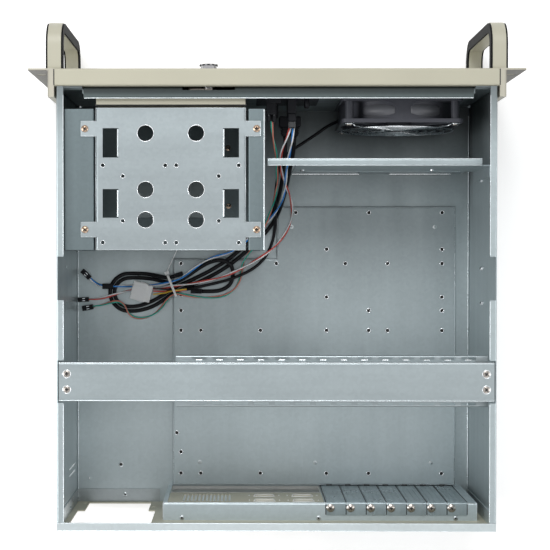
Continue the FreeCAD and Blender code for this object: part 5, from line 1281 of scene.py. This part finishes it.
# %% Moulded USB plugs: a narrow one has five grey ribs, a wide one three black ones
WIDEST_NARROW, mesh = 12 * MM, bmesh.new()
for low, high in loose_parts("usb_plugs"):
    size = high - low
    inset = Vector((0.12 * size.x, 0, 0.14 * size.z))
    split = low.y + 0.55 * size.y
    box(mesh, tuple(low), (high.x, split, high.z), 0, 1.3 * MM, 3)
    box(mesh, (low.x + inset.x, split - 2 * MM, low.z + inset.z),
        (high.x - inset.x, high.y, high.z - inset.z), 0, 1.1 * MM, 3)
    ribs, rib_slot = (5, 1) if size.x < WIDEST_NARROW else (3, 0)
    for k in range(ribs):
        y = split + (0.10 + 0.85 * k / ribs) * (high.y - split)
        box(mesh, (low.x + 0.6 * inset.x, y, low.z + 0.6 * inset.z),
            (high.x - 0.6 * inset.x, y + 0.6 * MM, high.z - 0.6 * inset.z), rib_slot,
            0.25 * MM, 2)
piece("moulded_plugs", mesh, [black_moulded, strain_grey], "usb_plugs")

# %% Power switch: a sleeve round the key, a body bored for its stem, two sleeved terminals
low = corners("power_switch")[0]
mesh = bmesh.new()


def block_at(x0, x1, y0, y1, z0, z1, slot=0, bevel=0.3):
    """A rounded box given in millimetres from the switch's lowest corner."""
    box(mesh, (low.x + x0 * MM, low.y + y0 * MM, low.z + z0 * MM),
        (low.x + x1 * MM, low.y + y1 * MM, low.z + z1 * MM), slot, bevel * MM)


for x0, x1, z0, z1 in ((0, 1, 0, 15), (14, 15, 0, 15), (1, 14, 0, 1), (1, 14, 14, 15)):
    block_at(x0, x1, 0, 4.5, z0, z1)
for x0, x1, z0, z1 in ((4.6, 5.4, 0.8, 14.2), (9.5, 14.4, 0.8, 14.2), (5.4, 9.5, 0.8, 5.4),
                       (5.4, 9.5, 9.6, 14.2)):
    block_at(x0, x1, 4.5, 13.6, z0, z1)
block_at(4.6, 14.4, 13.6, 15.5, 0.8, 14.2, bevel=0.5)
for x0 in (5.0, 10.4):
    block_at(x0, x0 + 3.6, 15.2, 22.5, 2.5, 10.5, bevel=0.9)
    block_at(x0 + 1.2, x0 + 2.4, 15.3, 17.0, 10.3, 10.8, 1, 0.15)
block_at(6.0, 13.0, 15.0, 19.5, 3.0, 6.0, bevel=0.6)
piece("switch_body", mesh, [black_moulded, strain_grey], "power_switch")

# %% [markdown]
# ## Lock
# The lock's head is a chrome barrel. A fluted ring goes round it, so that it catches the light
# in facets, as a turned part seen from the side does. The bottoms of the flutes carry painted
# shade. The plug with its keyway stays the CAD model's own.

# %% Fluted ring round the lock's head: every fourth corner of a ring is the foot of a flute
FLUTES, FLUTE_DEPTH = 12, 0.9 * MM
low, high = extent([v.co for v in nodes["lock_body"].data.vertices
                    if v.co.y < at(0, -1, 0).y])
axis, head = (low + high) / 2, (high.x - low.x) / 2
front, back, inner, outer = low.y + 0.4 * MM, high.y - 0.2 * MM, head - 0.3 * MM, head + 1.3 * MM
mesh, rings = bmesh.new(), []
for y, radius in ((front, inner), (front, head + 0.7 * MM), (low.y + 1.2 * MM, outer),
                  (back, outer), (back, inner)):
    rings.append([])
    for k, a in enumerate(round_angles(FLUTES * 4)):
        r = radius - (FLUTE_DEPTH if radius > head and k % 4 == 0 else 0.0)
        rings[-1].append(mesh.verts.new((axis.x + math.cos(a) * r, y,
                                         axis.z + math.sin(a) * r)))
for number, (one, two) in enumerate(zip(rings, rings[1:] + rings[:1])):
    for k, face in enumerate(bridge(mesh, one, two)):
        face.material_index = int(k % 4 in (0, 3) and 0 < number < len(rings) - 1)
piece("lock_flutes", mesh, [lock_chrome, recess_shade], body="door")
print("lock head radius", round(head / MM, 2), "mm")
